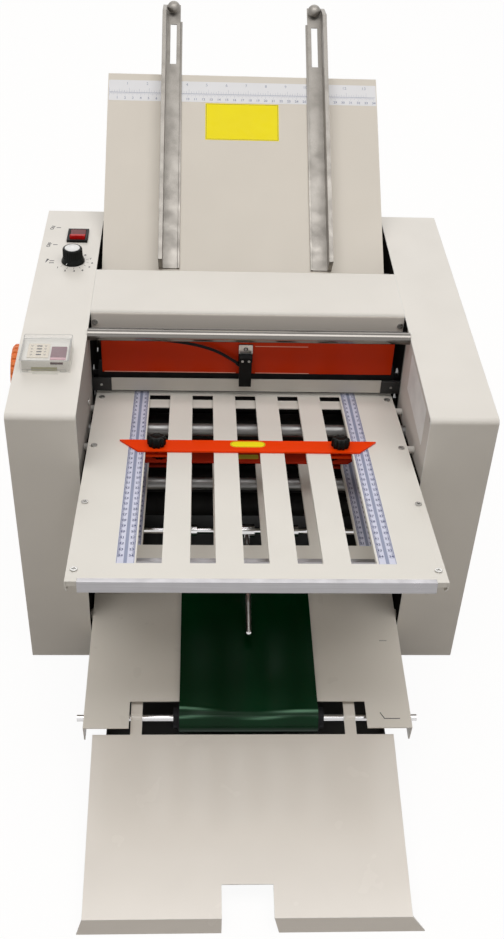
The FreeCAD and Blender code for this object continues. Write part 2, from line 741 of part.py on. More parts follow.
def plate_screw_set(length):
    screws = []
    for x, y in plate_screw_places(length):
        shank = post(x, y, -PLATE_T, 0, PLATE_SCREW_R)
        head = post(x, y, 0, PLATE_SCREW_HEAD_H, PLATE_SCREW_HEAD_R)
        screws.append(fused([shank, head]))
    return group(screws)


def upper_plate_top():
    return placed(plate_top_sheet(PLATE_LENGTH), UPPER_FRAME)


def upper_plate_bottom():
    return placed(plate_bottom_sheet(PLATE_LENGTH, BOTTOM_SLOT_MARGIN), UPPER_FRAME)


def upper_plate_profile():
    return placed(plate_profile_bar(), UPPER_FRAME)


def lower_plate_top():
    return placed(plate_top_sheet(LOWER_PLATE_LENGTH), LOWER_FRAME)


def lower_plate_bottom():
    return placed(plate_bottom_sheet(LOWER_PLATE_LENGTH, SLOT_REAR_MARGIN), LOWER_FRAME)


def lower_plate_profile():
    return placed(plate_profile_bar(), LOWER_FRAME)


def rear_plate(length, frame):
    sheets = [plate_top_sheet(length), plate_bottom_sheet(length, SLOT_REAR_MARGIN), plate_screw_set(length)]
    return group([placed(s, frame) for s in sheets])


def second_fold_plate():
    return rear_plate(SECOND_PLATE_LENGTH, SECOND_FRAME)


def fourth_fold_plate():
    return rear_plate(FOURTH_PLATE_LENGTH, FOURTH_FRAME)


def plate_screws():
    upper = placed(plate_screw_set(PLATE_LENGTH), UPPER_FRAME)
    lower = placed(plate_screw_set(LOWER_PLATE_LENGTH), LOWER_FRAME)
    case = [case_screw(side * (WALL_X - CASE_SCREW_SET_IN)) for side in (-1, 1)]
    return group(upper.Solids + lower.Solids + case)


def case_screw(x):
    seat = Vector(x, COVER_FRONT_Y - CASE_SCREW_H, COVER_TOP_Z - CASE_SCREW_DROP)
    return Part.makeCylinder(CASE_SCREW_R, CASE_SCREW_H, seat, Y_AXIS)


# Paper stops
def knob_places():
    return [side * SLOT_PITCH * (SLOT_COUNT - 1) / 2 for side in (-1, 1)]


def stop_bar_shape():
    knob_x = knob_places()[-1]
    rear, front, half_d = knob_x + STOP_BAR_REAR_OVERHANG, knob_x + STOP_BAR_FRONT_OVERHANG, STOP_BAR_D / 2
    outline = [(-front, -half_d), (front, -half_d), (rear, half_d), (-rear, half_d)]
    bar = plate_of([Vector(x, y, FACE_GAP) for x, y in outline], Z_AXIS * STOP_BAR_T)
    fingers = []
    for i in (-1, 0, 1):
        x = i * SLOT_PITCH
        fingers.append(box(x - STOP_FINGER_W / 2, x + STOP_FINGER_W / 2, 0, STOP_FINGER_T,
                           -SHEET - PLATE_GAP - PLATE_BOTTOM_T / 2, FACE_GAP))
    bar = fused([bar] + fingers)
    holes = [post(x, 0, -OVERRUN, OVERRUN, STOP_SHANK_R + RUN_FIT) for x in knob_places()]
    nuts = [stop_nut(x) for x in knob_places()]
    return [bar.cut(holes)] + nuts


def stop_nut(x):
    z1 = -PLATE_T - FACE_GAP
    nut = box(x - STOP_NUT_W / 2, x + STOP_NUT_W / 2, -STOP_NUT_D / 2, STOP_NUT_D / 2, z1 - STOP_NUT_T, z1)
    return nut.cut(post(x, 0, z1 - STOP_NUT_T - OVERRUN, z1 + OVERRUN, STOP_SHANK_R + RUN_FIT))


def stop_knob_shape(x):
    z0 = FACE_GAP + STOP_BAR_T + SLIP
    body = post(x, 0, z0, z0 + STOP_KNOB_H, STOP_KNOB_R)
    flutes = []
    for i in range(STOP_KNOB_FLUTES):
        turn = 2 * math.pi * i / STOP_KNOB_FLUTES
        flute_x = x + STOP_KNOB_R * math.cos(turn)
        flutes.append(post(flute_x, STOP_KNOB_R * math.sin(turn), z0 - OVERRUN,
                           z0 + STOP_KNOB_H + OVERRUN, STOP_KNOB_FLUTE_R))
    shank = post(x, 0, -PLATE_T - FACE_GAP - STOP_NUT_T, z0, STOP_SHANK_R)
    return fused([body.cut(flutes), shank])


def stop_frame(frame, along):
    return frame.multiply(FreeCAD.Placement(Vector(0, along, 0), FreeCAD.Rotation()))


UPPER_STOP_FRAME = stop_frame(UPPER_FRAME, UPPER_STOP_AT)
LOWER_STOP_FRAME = stop_frame(LOWER_FRAME, LOWER_STOP_AT)
SECOND_STOP_FRAME = stop_frame(SECOND_FRAME, SECOND_STOP_AT)
FOURTH_STOP_FRAME = stop_frame(FOURTH_FRAME, FOURTH_STOP_AT)


def upper_stop_bar():
    return group([placed(s, UPPER_STOP_FRAME) for s in stop_bar_shape()])


def upper_left_knob():
    return placed(stop_knob_shape(knob_places()[0]), UPPER_STOP_FRAME)


def upper_right_knob():
    return placed(stop_knob_shape(knob_places()[1]), UPPER_STOP_FRAME)


def lower_stop_bar():
    return group([placed(s, LOWER_STOP_FRAME) for s in stop_bar_shape()])


def lower_left_knob():
    return placed(stop_knob_shape(knob_places()[0]), LOWER_STOP_FRAME)


def lower_right_knob():
    return placed(stop_knob_shape(knob_places()[1]), LOWER_STOP_FRAME)


def rear_stop(frame):
    knobs = [stop_knob_shape(x) for x in knob_places()]
    return group([placed(s, frame) for s in stop_bar_shape() + knobs])


def second_plate_stop():
    return rear_stop(SECOND_STOP_FRAME)


def fourth_plate_stop():
    return rear_stop(FOURTH_STOP_FRAME)


# Rollers and drive
def pinion(centre, phase):
    pitch_r = ROLLER_PITCH / 2
    step = 2 * math.pi / PINION_TEETH
    half_pitch = step / 4 - PINION_BACKLASH / pitch_r / 2
    half_tip = step * TOOTH_TIP_SHARE / 2
    half_root = step / 2 - half_tip
    root_r, tip_r = pitch_r - PINION_DEDENDUM, pitch_r + PINION_ADDENDUM
    points = []
    for i in range(PINION_TEETH):
        middle = phase + step * i
        for radius, offset in ((root_r, -half_root), (pitch_r, -half_pitch), (tip_r, -half_tip),
                               (tip_r, half_tip), (pitch_r, half_pitch), (root_r, half_root)):
            turn = middle + offset
            rim = Vector(0, math.cos(turn), math.sin(turn)) * radius
            points.append(Vector(-PINION_X, centre.y, centre.z) + rim)
    return plate_of(points, X_AXIS * -PINION_W)


def pinion_phases():
    step = 2 * math.pi / PINION_TEETH
    phases = [0.0]
    for a, b in zip(ROLLERS, ROLLERS[1:]):
        towards = math.atan2(b.z - a.z, b.y - a.y)
        share = (towards - phases[-1]) / step
        phases.append(towards + math.pi - step * (0.5 - share))
    return phases


PINION_PHASES = pinion_phases()


def fold_roller(index):
    centre = ROLLERS[index]
    left_end = PINION_X + PINION_W
    right_end = WALL_X + SIDE_PLATE_T
    extras = []
    if index == 0:
        left_end = HALF_W + HAND_WHEEL_OFFSET
    if index == 4:
        left_end = DRIVE_PULLEY_X + PULLEY_W
        extras.append(rod_x(-left_end, -DRIVE_PULLEY_X, centre.y, centre.z, DRIVE_PULLEY_R))
    if index == 5:
        right_end = CONVEYOR_PULLEY_X + PULLEY_W
        extras.append(rod_x(CONVEYOR_PULLEY_X, right_end, centre.y, centre.z, CONVEYOR_PULLEY_R))
    if index == 1:
        right_end = FEED_PULLEY_X + PULLEY_W
        extras.append(rod_x(FEED_PULLEY_X, right_end, centre.y, centre.z, FEED_PULLEY_R))
    shaft = rod_x(-left_end, right_end, centre.y, centre.z, ROLLER_SHAFT_R)
    body = rod_x(-ROLLER_HALF_W, ROLLER_HALF_W, centre.y, centre.z, ROLLER_R)
    return fused([shaft, body, pinion(centre, PINION_PHASES[index])] + extras)


def hand_wheel():
    centre = ROLLERS[0]
    x1 = -HALF_W - HAND_WHEEL_OFFSET
    x0 = x1 - HAND_WHEEL_T
    disc = rod_x(x0, x1, centre.y, centre.z, HAND_WHEEL_R)
    disc = disc.makeChamfer(HAND_WHEEL_RIM_CHAMFER, [e for e in disc.Edges if e.BoundBox.XLength < SLIP])
    cuts = [rod_x(x0 - OVERRUN, x0 + HAND_WHEEL_DISH_T, centre.y, centre.z, HAND_WHEEL_DISH_R)]
    for i in range(HAND_WHEEL_NOTCHES):
        turn = 2 * math.pi * i / HAND_WHEEL_NOTCHES
        y = centre.y + HAND_WHEEL_R * math.cos(turn)
        z = centre.z + HAND_WHEEL_R * math.sin(turn)
        cuts.append(rod_x(x0 - OVERRUN, x1 + OVERRUN, y, z, HAND_WHEEL_NOTCH_R))
    return disc.cut(cuts)


def feed_roller():
    y, z = FEED_AXIS.y, FEED_AXIS.z
    inner, outer = FEED_RING_GAP / 2, FEED_RING_GAP / 2 + FEED_RING_W
    ring = rod_x(inner, outer, y, z, FEED_ROLLER_R)
    right_end = FEED_PULLEY_X + PULLEY_W
    shaft = rod_x(-WALL_X - SIDE_PLATE_T, right_end, y, z, FEED_SHAFT_R)
    pulley = rod_x(FEED_PULLEY_X, right_end, y, z, FEED_PULLEY_R)
    return fused([shaft, ring, mirrored(ring), pulley])


def feed_separator():
    half_w, half_d = SEPARATOR_W / 2, SEPARATOR_D / 2
    pad = box(-half_w, half_w, -FEED_ROLLER_AT - half_d, -FEED_ROLLER_AT + half_d,
              SEPARATOR_GAP, SEPARATOR_GAP + SEPARATOR_T)
    pad = placed(pad, TABLE_FRAME)
    seat = TABLE_FRAME.multVec(Vector(0, -FEED_ROLLER_AT, SEPARATOR_GAP + SEPARATOR_T / 2))
    stem = post(TABLE_X, seat.y, seat.z, COVER_TOP_Z - SHEET, SEPARATOR_STEM_R)
    return fused([pad, stem])


def belt_loop(a, radius_a, b, radius_b, x0, width, thickness):
    inner = belt_outline(a, radius_a + FACE_GAP, b, radius_b + FACE_GAP, x0)
    outer = belt_outline(a, radius_a + FACE_GAP + thickness, b, radius_b + FACE_GAP + thickness, x0)
    return outer.extrude(X_AXIS * width).cut(inner.extrude(X_AXIS * width))


def belt_outline(a, radius_a, b, radius_b, x):
    heading = math.atan2(b.z - a.z, b.y - a.y)
    distance = math.hypot(b.z - a.z, b.y - a.y)
    spread = math.acos((radius_a - radius_b) / distance)

    def rim(centre, radius, turn):
        return Vector(x, centre.y + radius * math.cos(turn), centre.z + radius * math.sin(turn))

    a_top, a_low = rim(a, radius_a, heading + spread), rim(a, radius_a, heading - spread)
    b_top, b_low = rim(b, radius_b, heading + spread), rim(b, radius_b, heading - spread)
    edges = [
        Part.LineSegment(a_top, b_top).toShape(),
        Part.Arc(b_top, rim(b, radius_b, heading), b_low).toShape(),
        Part.LineSegment(b_low, a_low).toShape(),
        Part.Arc(a_low, rim(a, radius_a, heading + math.pi), a_top).toShape(),
    ]
    return Part.Face(Part.Wire(edges))


def motor():
    body = rod_x(-WALL_X, -WALL_X + MOTOR_LENGTH, MOTOR_Y, MOTOR_Z, MOTOR_R)
    recess = rod_x(-WALL_X - OVERRUN, -WALL_X + PULLEY_W, MOTOR_Y, MOTOR_Z, MOTOR_SHAFT_R + RUN_FIT)
    return body.cut(recess)


def motor_pulley():
    left = DRIVE_PULLEY_X + PULLEY_W
    shaft = rod_x(-left, -WALL_X + PULLEY_W - FACE_GAP, MOTOR_Y, MOTOR_Z, MOTOR_SHAFT_R)
    pulley = rod_x(-left, -DRIVE_PULLEY_X, MOTOR_Y, MOTOR_Z, MOTOR_PULLEY_R)
    return fused([shaft, pulley])


def drive_belts():
    motor_centre = Vector(0, MOTOR_Y, MOTOR_Z)
    main = belt_loop(motor_centre, MOTOR_PULLEY_R, ROLLERS[4], DRIVE_PULLEY_R,
                     -DRIVE_PULLEY_X - PULLEY_W, PULLEY_W, DRIVE_BELT_T)
    conveyor = belt_loop(REAR_AXLE, CONVEYOR_PULLEY_R, ROLLERS[5], CONVEYOR_PULLEY_R,
                         CONVEYOR_PULLEY_X, PULLEY_W, DRIVE_BELT_T)
    feed = belt_loop(FEED_AXIS, FEED_PULLEY_R, ROLLERS[1], FEED_PULLEY_R,
                     FEED_PULLEY_X, PULLEY_W, DRIVE_BELT_T)
    return group([main, conveyor, feed])


# Feed table and guides
def feed_table():
    half = TABLE_W / 2
    sheet = box(-half, half, -TABLE_LENGTH, 0, -SHEET, 0)
    flange = box(half - SHEET, half, -TABLE_LENGTH, 0, -TABLE_FLANGE_H, 0)
    top_hem = box(-half, half, -SHEET, 0, -TABLE_FLANGE_H, 0)
    studs = []
    for at in [TABLE_LENGTH - from_end for from_end in TABLE_STUDS_FROM_END]:
        studs += stud_pair(half - SHEET, TABLE_X, -at, -TABLE_FLANGE_H / 2, TABLE_STUD_R)
    whole = fused([sheet, top_hem, flange, mirrored(flange)] + studs)
    tie = rod_x(-half, half, -FEED_TIE_AT, -SHEET - TIE_R, TIE_R + RUN_FIT)
    sleeve = box(-half + SHEET, half - SHEET, -TABLE_LENGTH, 0, -TABLE_FLANGE_H - OVERRUN, -SHEET)
    return placed(whole.cut(tie.cut(sleeve)), TABLE_FRAME)


def guide_channel(side):
    half = GUIDE_BASE_W / 2
    low, high = GUIDE_RISE - GUIDE_LENGTH, GUIDE_RISE
    z0 = FACE_GAP
    base = box(-half, half, low, high, z0, z0 + GUIDE_BASE_T)
    outline = [(low, z0), (high, z0), (high, z0 + GUIDE_BASE_T), (high - GUIDE_WALL_BACK, z0 + GUIDE_WALL_H),
               (low, z0 + GUIDE_WALL_H)]
    wall = plate_of([Vector(side * half, y, z) for y, z in outline], X_AXIS * side * GUIDE_WALL_T)
    lip = box(-half - GUIDE_LIP_W, -half, low, high - GUIDE_LIP_BACK, z0, z0 + GUIDE_LIP_H)
    lip = lip if side > 0 else mirrored(lip)
    hook = guide_hook(half)
    slot_high = high - GUIDE_SLOT_TOP
    slot_half = GUIDE_SLOT_W / 2
    slot = box(-slot_half, slot_half, slot_high - GUIDE_SLOT_LENGTH, slot_high, z0 - OVERRUN, z0 + OVERRUN)
    shape = fused([base, wall, lip, hook]).cut(slot)
    shape.translate(Vector(side * GUIDE_X - TABLE_X, 0, 0))
    return placed(shape, TABLE_FRAME)


def guide_hook(half):
    reach = FACE_GAP + GUIDE_HOOK_T
    back = box(-half, half, FACE_GAP, reach, -GUIDE_HOOK_H, FACE_GAP)
    toe = box(-half, half, -GUIDE_HOOK_D, reach, -GUIDE_HOOK_H, -GUIDE_HOOK_H + GUIDE_HOOK_T)
    return fused([back, toe])


def guide_dome(side):
    z0 = FACE_GAP + GUIDE_BASE_T
    y = GUIDE_RISE - GUIDE_DOME_R
    stem = post(0, y, z0, z0 + GUIDE_DOME_STEM_H, GUIDE_DOME_STEM_R)
    ball = Part.makeSphere(GUIDE_DOME_R, Vector(0, y, z0 + GUIDE_DOME_STEM_H))
    ball = ball.cut(box(-GUIDE_DOME_R, GUIDE_DOME_R, y - GUIDE_DOME_R, y + GUIDE_DOME_R,
                        z0 + GUIDE_DOME_STEM_H - GUIDE_DOME_R, z0 + GUIDE_DOME_STEM_H))
    dome = fused([stem, ball])
    dome.translate(Vector(side * GUIDE_X - TABLE_X, 0, 0))
    return placed(dome, TABLE_FRAME)


def left_guide():
    return group([guide_channel(-1), guide_dome(-1)])


def right_guide():
    return group([guide_channel(1), guide_dome(1)])


# Delivery
def delivery_table():
    half = DELIVERY_W / 2
    sheet = box(-half, half, 0, DELIVERY_LENGTH, -SHEET, 0)
    side = [
        Vector(half - SHEET, 0, 0),
        Vector(half - SHEET, DELIVERY_LENGTH, 0),
        Vector(half - SHEET, DELIVERY_LENGTH, -DELIVERY_FLANGE_H),
        Vector(half - SHEET, DELIVERY_FLANGE_SLANT, -DELIVERY_FLANGE_H),
    ]
    flange = plate_of(side, X_AXIS * SHEET)
    pads = []
    for back in DELIVERY_PADS_FROM_REAR:
        pads.append(rod_x(half - SHEET, WALL_X, DELIVERY_LENGTH - back, -AXLE_DROP, DELIVERY_PAD_R))
    right = [flange] + pads
    whole = fused([sheet] + right + [mirrored(s) for s in right])
    notch_half, rear_half = DELIVERY_NOTCH_W / 2, DELIVERY_REAR_NOTCH_W / 2
    front = box(-notch_half, notch_half, -OVERRUN, DELIVERY_NOTCH_D, -SHEET - OVERRUN, OVERRUN)
    rear = box(-rear_half, rear_half, DELIVERY_LENGTH - DELIVERY_REAR_NOTCH_D, DELIVERY_LENGTH + OVERRUN,
               -SHEET - OVERRUN, OVERRUN)
    axle = rod_x(-half - OVERRUN, half + OVERRUN, AXLE_AT, -AXLE_DROP, AXLE_R)
    rear_axle = rod_x(-WALL_X - OVERRUN, WALL_X + OVERRUN, REAR_AXLE_AT, -AXLE_DROP, BEARING_R)
    return placed(whole.cut([front, rear, axle, rear_axle]), DELIVERY_FRAME)


def delivery_axle():
    end = DELIVERY_W / 2 + AXLE_OVERHANG
    return rod_x(-end, end, AXLE.y, AXLE.z, AXLE_R)


def conveyor_front_roller():
    half = BELT_ROLLER_W / 2
    drum = rod_x(BELT_X - half, BELT_X + half, AXLE.y, AXLE.z, BELT_ROLLER_R)
    rings = rod_x(BELT_X - half - END_RING_W, BELT_X + half + END_RING_W, AXLE.y, AXLE.z, END_RING_R)
    bore = rod_x(BELT_X - half - END_RING_W - OVERRUN, BELT_X + half + END_RING_W + OVERRUN,
                 AXLE.y, AXLE.z, AXLE_R + RUN_FIT)
    return fused([drum, rings]).cut(bore)


def conveyor_rear_roller():
    half = BELT_ROLLER_W / 2
    drum = rod_x(BELT_X - half, BELT_X + half, REAR_AXLE.y, REAR_AXLE.z, BELT_ROLLER_R)
    right_end = CONVEYOR_PULLEY_X + PULLEY_W
    shaft = rod_x(-WALL_X - SIDE_PLATE_T, right_end, REAR_AXLE.y, REAR_AXLE.z, ROLLER_SHAFT_R)
    pulley = rod_x(CONVEYOR_PULLEY_X, right_end, REAR_AXLE.y, REAR_AXLE.z, CONVEYOR_PULLEY_R)
    return fused([drum, shaft, pulley])


def conveyor_belt():
    return belt_loop(AXLE, BELT_ROLLER_R, REAR_AXLE, BELT_ROLLER_R, BELT_X - BELT_W / 2, BELT_W, BELT_T)


def cross_rod():
    rod = rod_x(-WALL_X, WALL_X, CROSS_ROD_Y, CROSS_ROD_Z, CROSS_ROD_R)
    collars = []
    for x in (-PRESS_COLLAR_X, PRESS_COLLAR_X):
        half = PRESS_COLLAR_W / 2
        collars.append(ring_x(x - half, x + half, CROSS_ROD_Y, CROSS_ROD_Z, PRESS_COLLAR_R, CROSS_ROD_R))
    return group([rod] + collars)


PRESS_FRAME = about_x(0, CROSS_ROD_Y, CROSS_ROD_Z, PRESS_ROD_SLOPE_DEG)


def press_wheel_centre():
    run = (PRESS_WHEEL_Y - DELIVERY_FRONT.y) / math.cos(math.radians(DELIVERY_SLOPE_DEG))
    height = BELT_ROLLER_R - AXLE_DROP + FACE_GAP + BELT_T + FACE_GAP + PRESS_WHEEL_R
    return DELIVERY_FRAME.multVec(Vector(0, run, height))


PRESS_WHEEL = press_wheel_centre()


def press_rod():
    half = PRESS_HUB_W / 2
    hub = rod_x(PRESS_X - half, PRESS_X + half, CROSS_ROD_Y, CROSS_ROD_Z, PRESS_HUB_R)
    tip = PRESS_ROD_LENGTH - PRESS_ROD_R
    rod = Part.makeCylinder(PRESS_ROD_R, tip, Vector(PRESS_X, 0, 0), -Y_AXIS)
    nose = Part.makeSphere(PRESS_ROD_R, Vector(PRESS_X, -tip, 0))
    rod = placed(fused([rod, nose]), PRESS_FRAME)
    along = PRESS_WHEEL.y
    back = (along - CROSS_ROD_Y) / math.cos(math.radians(PRESS_ROD_SLOPE_DEG))
    rod_z = PRESS_FRAME.multVec(Vector(0, back, 0)).z
    x0, x1 = PRESS_X - PRESS_ARM_W / 2, PRESS_X + PRESS_ARM_W / 2
    arm_d = PRESS_ARM_D / 2
    arm = box(x0, x1, along - arm_d, along + arm_d, PRESS_WHEEL.z - arm_d, rod_z)
    whole = fused([hub, rod, arm])
    reach = half + OVERRUN
    bore = rod_x(PRESS_X - reach, PRESS_X + reach, CROSS_ROD_Y, CROSS_ROD_Z, CROSS_ROD_R + RUN_FIT)
    axle_bore = rod_x(PRESS_X - half, PRESS_X + half, along, PRESS_WHEEL.z, PRESS_WHEEL_AXLE_R + RUN_FIT)
    return whole.cut([bore, axle_bore])


def press_wheels():
    near = PRESS_ARM_W / 2 + SLIP
    wheel = rod_x(near, near + PRESS_WHEEL_W, PRESS_WHEEL.y, PRESS_WHEEL.z, PRESS_WHEEL_R)
    axle = rod_x(-near, near, PRESS_WHEEL.y, PRESS_WHEEL.z, PRESS_WHEEL_AXLE_R)
    whole = fused([mirrored(wheel), axle, wheel])
    whole.translate(Vector(PRESS_X, 0, 0))
    return whole


# Catch tray
def catch_tray():
    rear_y, front_y = -TRAY_REAR_OUT, -TRAY_REAR_OUT - TRAY_LENGTH
    z0, z1 = TRAY_REAR_UP, TRAY_REAR_UP + SHEET
    rear, front = TRAY_W / 2, TRAY_FRONT_W / 2
    corners = [(-rear, rear_y), (rear, rear_y), (front, front_y), (-front, front_y)]
    sheet = plate_of([Vector(x, y, z0) for x, y in corners], Z_AXIS * SHEET)
    parts = [sheet] + tray_side_lips(rear, rear_y, front, front_y, z0)
    parts += [hook_shape(side * HOOK_X, rear_y, z0) for side in (-1, 1)]
    notch = box(-TRAY_NOTCH_W / 2, TRAY_NOTCH_W / 2, front_y - OVERRUN, front_y + TRAY_NOTCH_D,
                z0 - OVERRUN, z1 + OVERRUN)
    body = fused([placed(fused(parts).cut(notch), TRAY_FRAME)] + tray_lip())
    body.translate(Vector(TRAY_X, 0, 0))
    return body


def tray_side_lips(rear, rear_y, front, front_y, z0):
    lips = []
    for side in (-1, 1):
        outline = [(rear, rear_y), (front, front_y), (front - SHEET, front_y), (rear - SHEET, rear_y)]
        points = [Vector(side * x, y, z0 - TRAY_SIDE_LIP_H) for x, y in outline]
        lips.append(plate_of(points, Z_AXIS * TRAY_SIDE_LIP_H))
    return lips


def tray_lip():
    fold = TRAY_FRAME.multVec(Vector(0, -TRAY_REAR_OUT - TRAY_LENGTH, TRAY_REAR_UP + SHEET))
    side, gap = TRAY_FRONT_W / 2, TRAY_NOTCH_W / 2
    lips = []
    for outline in ((-side, -gap, -gap, -side - TRAY_EAR_LEFT),
                    (gap, side, side + TRAY_EAR_RIGHT, gap + TRAY_LIP_SLANT)):
        top = [Vector(x, fold.y, fold.z) for x in outline[:2]]
        foot = [Vector(x, fold.y - TRAY_LIP_OUT, 0) for x in outline[2:]]
        lips.append(plate_of(top + foot, Y_AXIS * SHEET))
    return lips


def hook_shape(x, rear_y, z0):
    half = HOOK_W / 2
    inner = AXLE_R + FACE_GAP
    outer = inner + HOOK_T
    arch = ring_x(x - half, x + half, 0, 0, outer, inner)
    arch = arch.cut(box(x - half, x + half, -outer, outer, -outer, 0))
    tail = box(x - half, x + half, inner, outer, -outer, 0)
    arm = box(x - half, x + half, rear_y - HOOK_T, -inner, z0, z0 + SHEET)
    return fused([arch, tail, arm])


# Control panel
def switch_bezel():
    half_w, half_d = SWITCH_W / 2, SWITCH_D / 2
    z1 = TOP_Z + SWITCH_FRAME_H
    flange = box(SWITCH_X - half_w, SWITCH_X + half_w, SWITCH_Y - half_d, SWITCH_Y + half_d, TOP_Z, z1)
    in_w, in_d = half_w - SWITCH_FRAME / 2, half_d - SWITCH_FRAME / 2
    body = box(SWITCH_X - in_w, SWITCH_X + in_w, SWITCH_Y - in_d, SWITCH_Y + in_d,
               TOP_Z - SWITCH_BOX_DEPTH, z1)
    open_w, open_d = half_w - SWITCH_FRAME, half_d - SWITCH_FRAME
    well = box(SWITCH_X - open_w, SWITCH_X + open_w, SWITCH_Y - open_d, SWITCH_Y + open_d,
               TOP_Z - SWITCH_BOX_DEPTH + SHEET, z1 + OVERRUN)
    pin = rocker_pin(open_w + RUN_FIT + SHEET / 2, RUN_FIT)
    return fused([flange, body]).cut([well, pin])


def rocker_pin(reach, extra):
    return rod_x(SWITCH_X - reach, SWITCH_X + reach, SWITCH_Y, TOP_Z - ROCKER_DEPTH / 2, SHEET / 2 + extra)


def power_rocker():
    open_w, open_d = SWITCH_W / 2 - SWITCH_FRAME - FACE_GAP, SWITCH_D / 2 - SWITCH_FRAME - SHEET
    z0, z1 = TOP_Z - ROCKER_DEPTH, TOP_Z + SWITCH_FRAME_H + ROCKER_DOME_H
    narrow = open_d - SHEET
    side = [(-narrow, z0), (narrow, z0), (open_d, z1), (0, z1 - ROCKER_DOME_H), (-open_d, z1)]
    points = [Vector(SWITCH_X - open_w, SWITCH_Y + y, z) for y, z in side]
    body = plate_of(points, X_AXIS * open_w * 2)
    whole = fused([body, rocker_pin(open_w + FACE_GAP + SHEET / 2, 0)])
    whole.rotate(Vector(SWITCH_X, SWITCH_Y, TOP_Z - ROCKER_DEPTH / 2), X_AXIS, -ROCKER_TILT_DEG)
    return whole


def speed_knob():
    z0 = TOP_Z + SLIP
    base = Part.makeCone(KNOB_BASE_R, KNOB_R, KNOB_BASE_H, Vector(KNOB_X, KNOB_Y, z0), Z_AXIS)
    grip_foot = Vector(KNOB_X, KNOB_Y, z0 + KNOB_BASE_H)
    grip = Part.makeCone(KNOB_R, KNOB_TOP_R, KNOB_H - KNOB_BASE_H, grip_foot, Z_AXIS)
    flutes = []
    for i in range(KNOB_FLUTES):
        turn = 2 * math.pi * i / KNOB_FLUTES
        flutes.append(post(KNOB_X + KNOB_R * math.cos(turn), KNOB_Y + KNOB_R * math.sin(turn),
                           z0 + KNOB_BASE_H, z0 + KNOB_H + OVERRUN, KNOB_FLUTE_R))
    shaft = post(KNOB_X, KNOB_Y, TOP_Z - KNOB_SHAFT_DEPTH, z0, KNOB_SHAFT_R)
    body = fused([base, grip.cut(flutes), shaft])
    top = z0 + KNOB_H
    seat = post(KNOB_X, KNOB_Y, top - KNOB_CAP_H / 2, top + OVERRUN, KNOB_CAP_R)
    cap = post(KNOB_X, KNOB_Y, top - KNOB_CAP_H / 2, top + KNOB_CAP_H / 2, KNOB_CAP_R)
    return group([body.cut(seat), cap])


def counter_case():
    half_w = COUNTER_W / 2 - COUNTER_COVER_T - FACE_GAP
    half_d = COUNTER_D / 2 - COUNTER_COVER_T
    y0, y1 = COUNTER_Y - half_d + COUNTER_FRONT_GAP, COUNTER_Y + half_d - COUNTER_REAR_GAP
    block = box(COUNTER_X - half_w, COUNTER_X + half_w, y0, y1, TOP_Z, TOP_Z + COUNTER_CASE_H)
    outer_end = COUNTER_W / 4 + FACE_GAP + COVER_LUG_W
    return group([block, hinge_lug(COUNTER_X - outer_end), hinge_lug(COUNTER_X + outer_end - COVER_LUG_W)])


def hinge_lug(x0):
    x1 = x0 + COVER_LUG_W
    radius = COVER_BARREL_OUT - SLIP
    foot = box(x0, x1, COUNTER_HINGE_Y - radius, COUNTER_HINGE_Y + radius, TOP_Z, COUNTER_HINGE_Z)
    lug = fused([foot, rod_x(x0, x1, COUNTER_HINGE_Y, COUNTER_HINGE_Z, radius)])
    return lug.cut(counter_pin(OVERRUN, RUN_FIT))


def counter_face():
    z0 = TOP_Z + COUNTER_CASE_H
    z1 = z0 + COUNTER_FACE_T
    keypad = box(COUNTER_X + KEYPAD_X - KEYPAD_W / 2, COUNTER_X + KEYPAD_X + KEYPAD_W / 2,
                 COUNTER_Y + KEYPAD_Y - KEYPAD_D / 2, COUNTER_Y + KEYPAD_Y + KEYPAD_D / 2, z0, z1)
    window = box(COUNTER_X + WINDOW_X - WINDOW_W / 2, COUNTER_X + WINDOW_X + WINDOW_W / 2,
                 COUNTER_Y + WINDOW_Y - WINDOW_D / 2, COUNTER_Y + WINDOW_Y + WINDOW_D / 2, z0, z1)
    return group([keypad, window])


COUNTER_HINGE_Y = COUNTER_Y + COUNTER_D / 2 + COVER_BARREL_OUT
COUNTER_HINGE_Z = TOP_Z + SLIP + COVER_BARREL_R


def counter_pin(beyond, extra):
    reach = COUNTER_W / 4 + beyond
    return rod_x(COUNTER_X - reach, COUNTER_X + reach, COUNTER_HINGE_Y, COUNTER_HINGE_Z, COVER_PIN_R + extra)


def counter_cover():
    half_w, half_d = COUNTER_W / 2, COUNTER_D / 2
    z0, z1 = TOP_Z + SLIP, TOP_Z + COUNTER_H
    outer = box(COUNTER_X - half_w, COUNTER_X + half_w, COUNTER_Y - half_d, COUNTER_Y + half_d, z0, z1)
    in_w, in_d = half_w - COUNTER_COVER_T, half_d - COUNTER_COVER_T
    hollow = box(COUNTER_X - in_w, COUNTER_X + in_w, COUNTER_Y - in_d, COUNTER_Y + in_d,
                 z0 - OVERRUN, z1 - COUNTER_COVER_T)
    x0, x1 = COUNTER_X - half_w / 2, COUNTER_X + half_w / 2
    barrel = rod_x(x0, x1, COUNTER_HINGE_Y, COUNTER_HINGE_Z, COVER_BARREL_R)
    tab = box(COUNTER_X - COVER_TAB_W / 2, COUNTER_X + COVER_TAB_W / 2, COUNTER_Y - half_d - COVER_TAB_D,
              COUNTER_Y - half_d, z0, z0 + COUNTER_COVER_T)
    return fused([outer.cut(hollow), barrel, counter_pin(COVER_LUG_W, 0), tab])


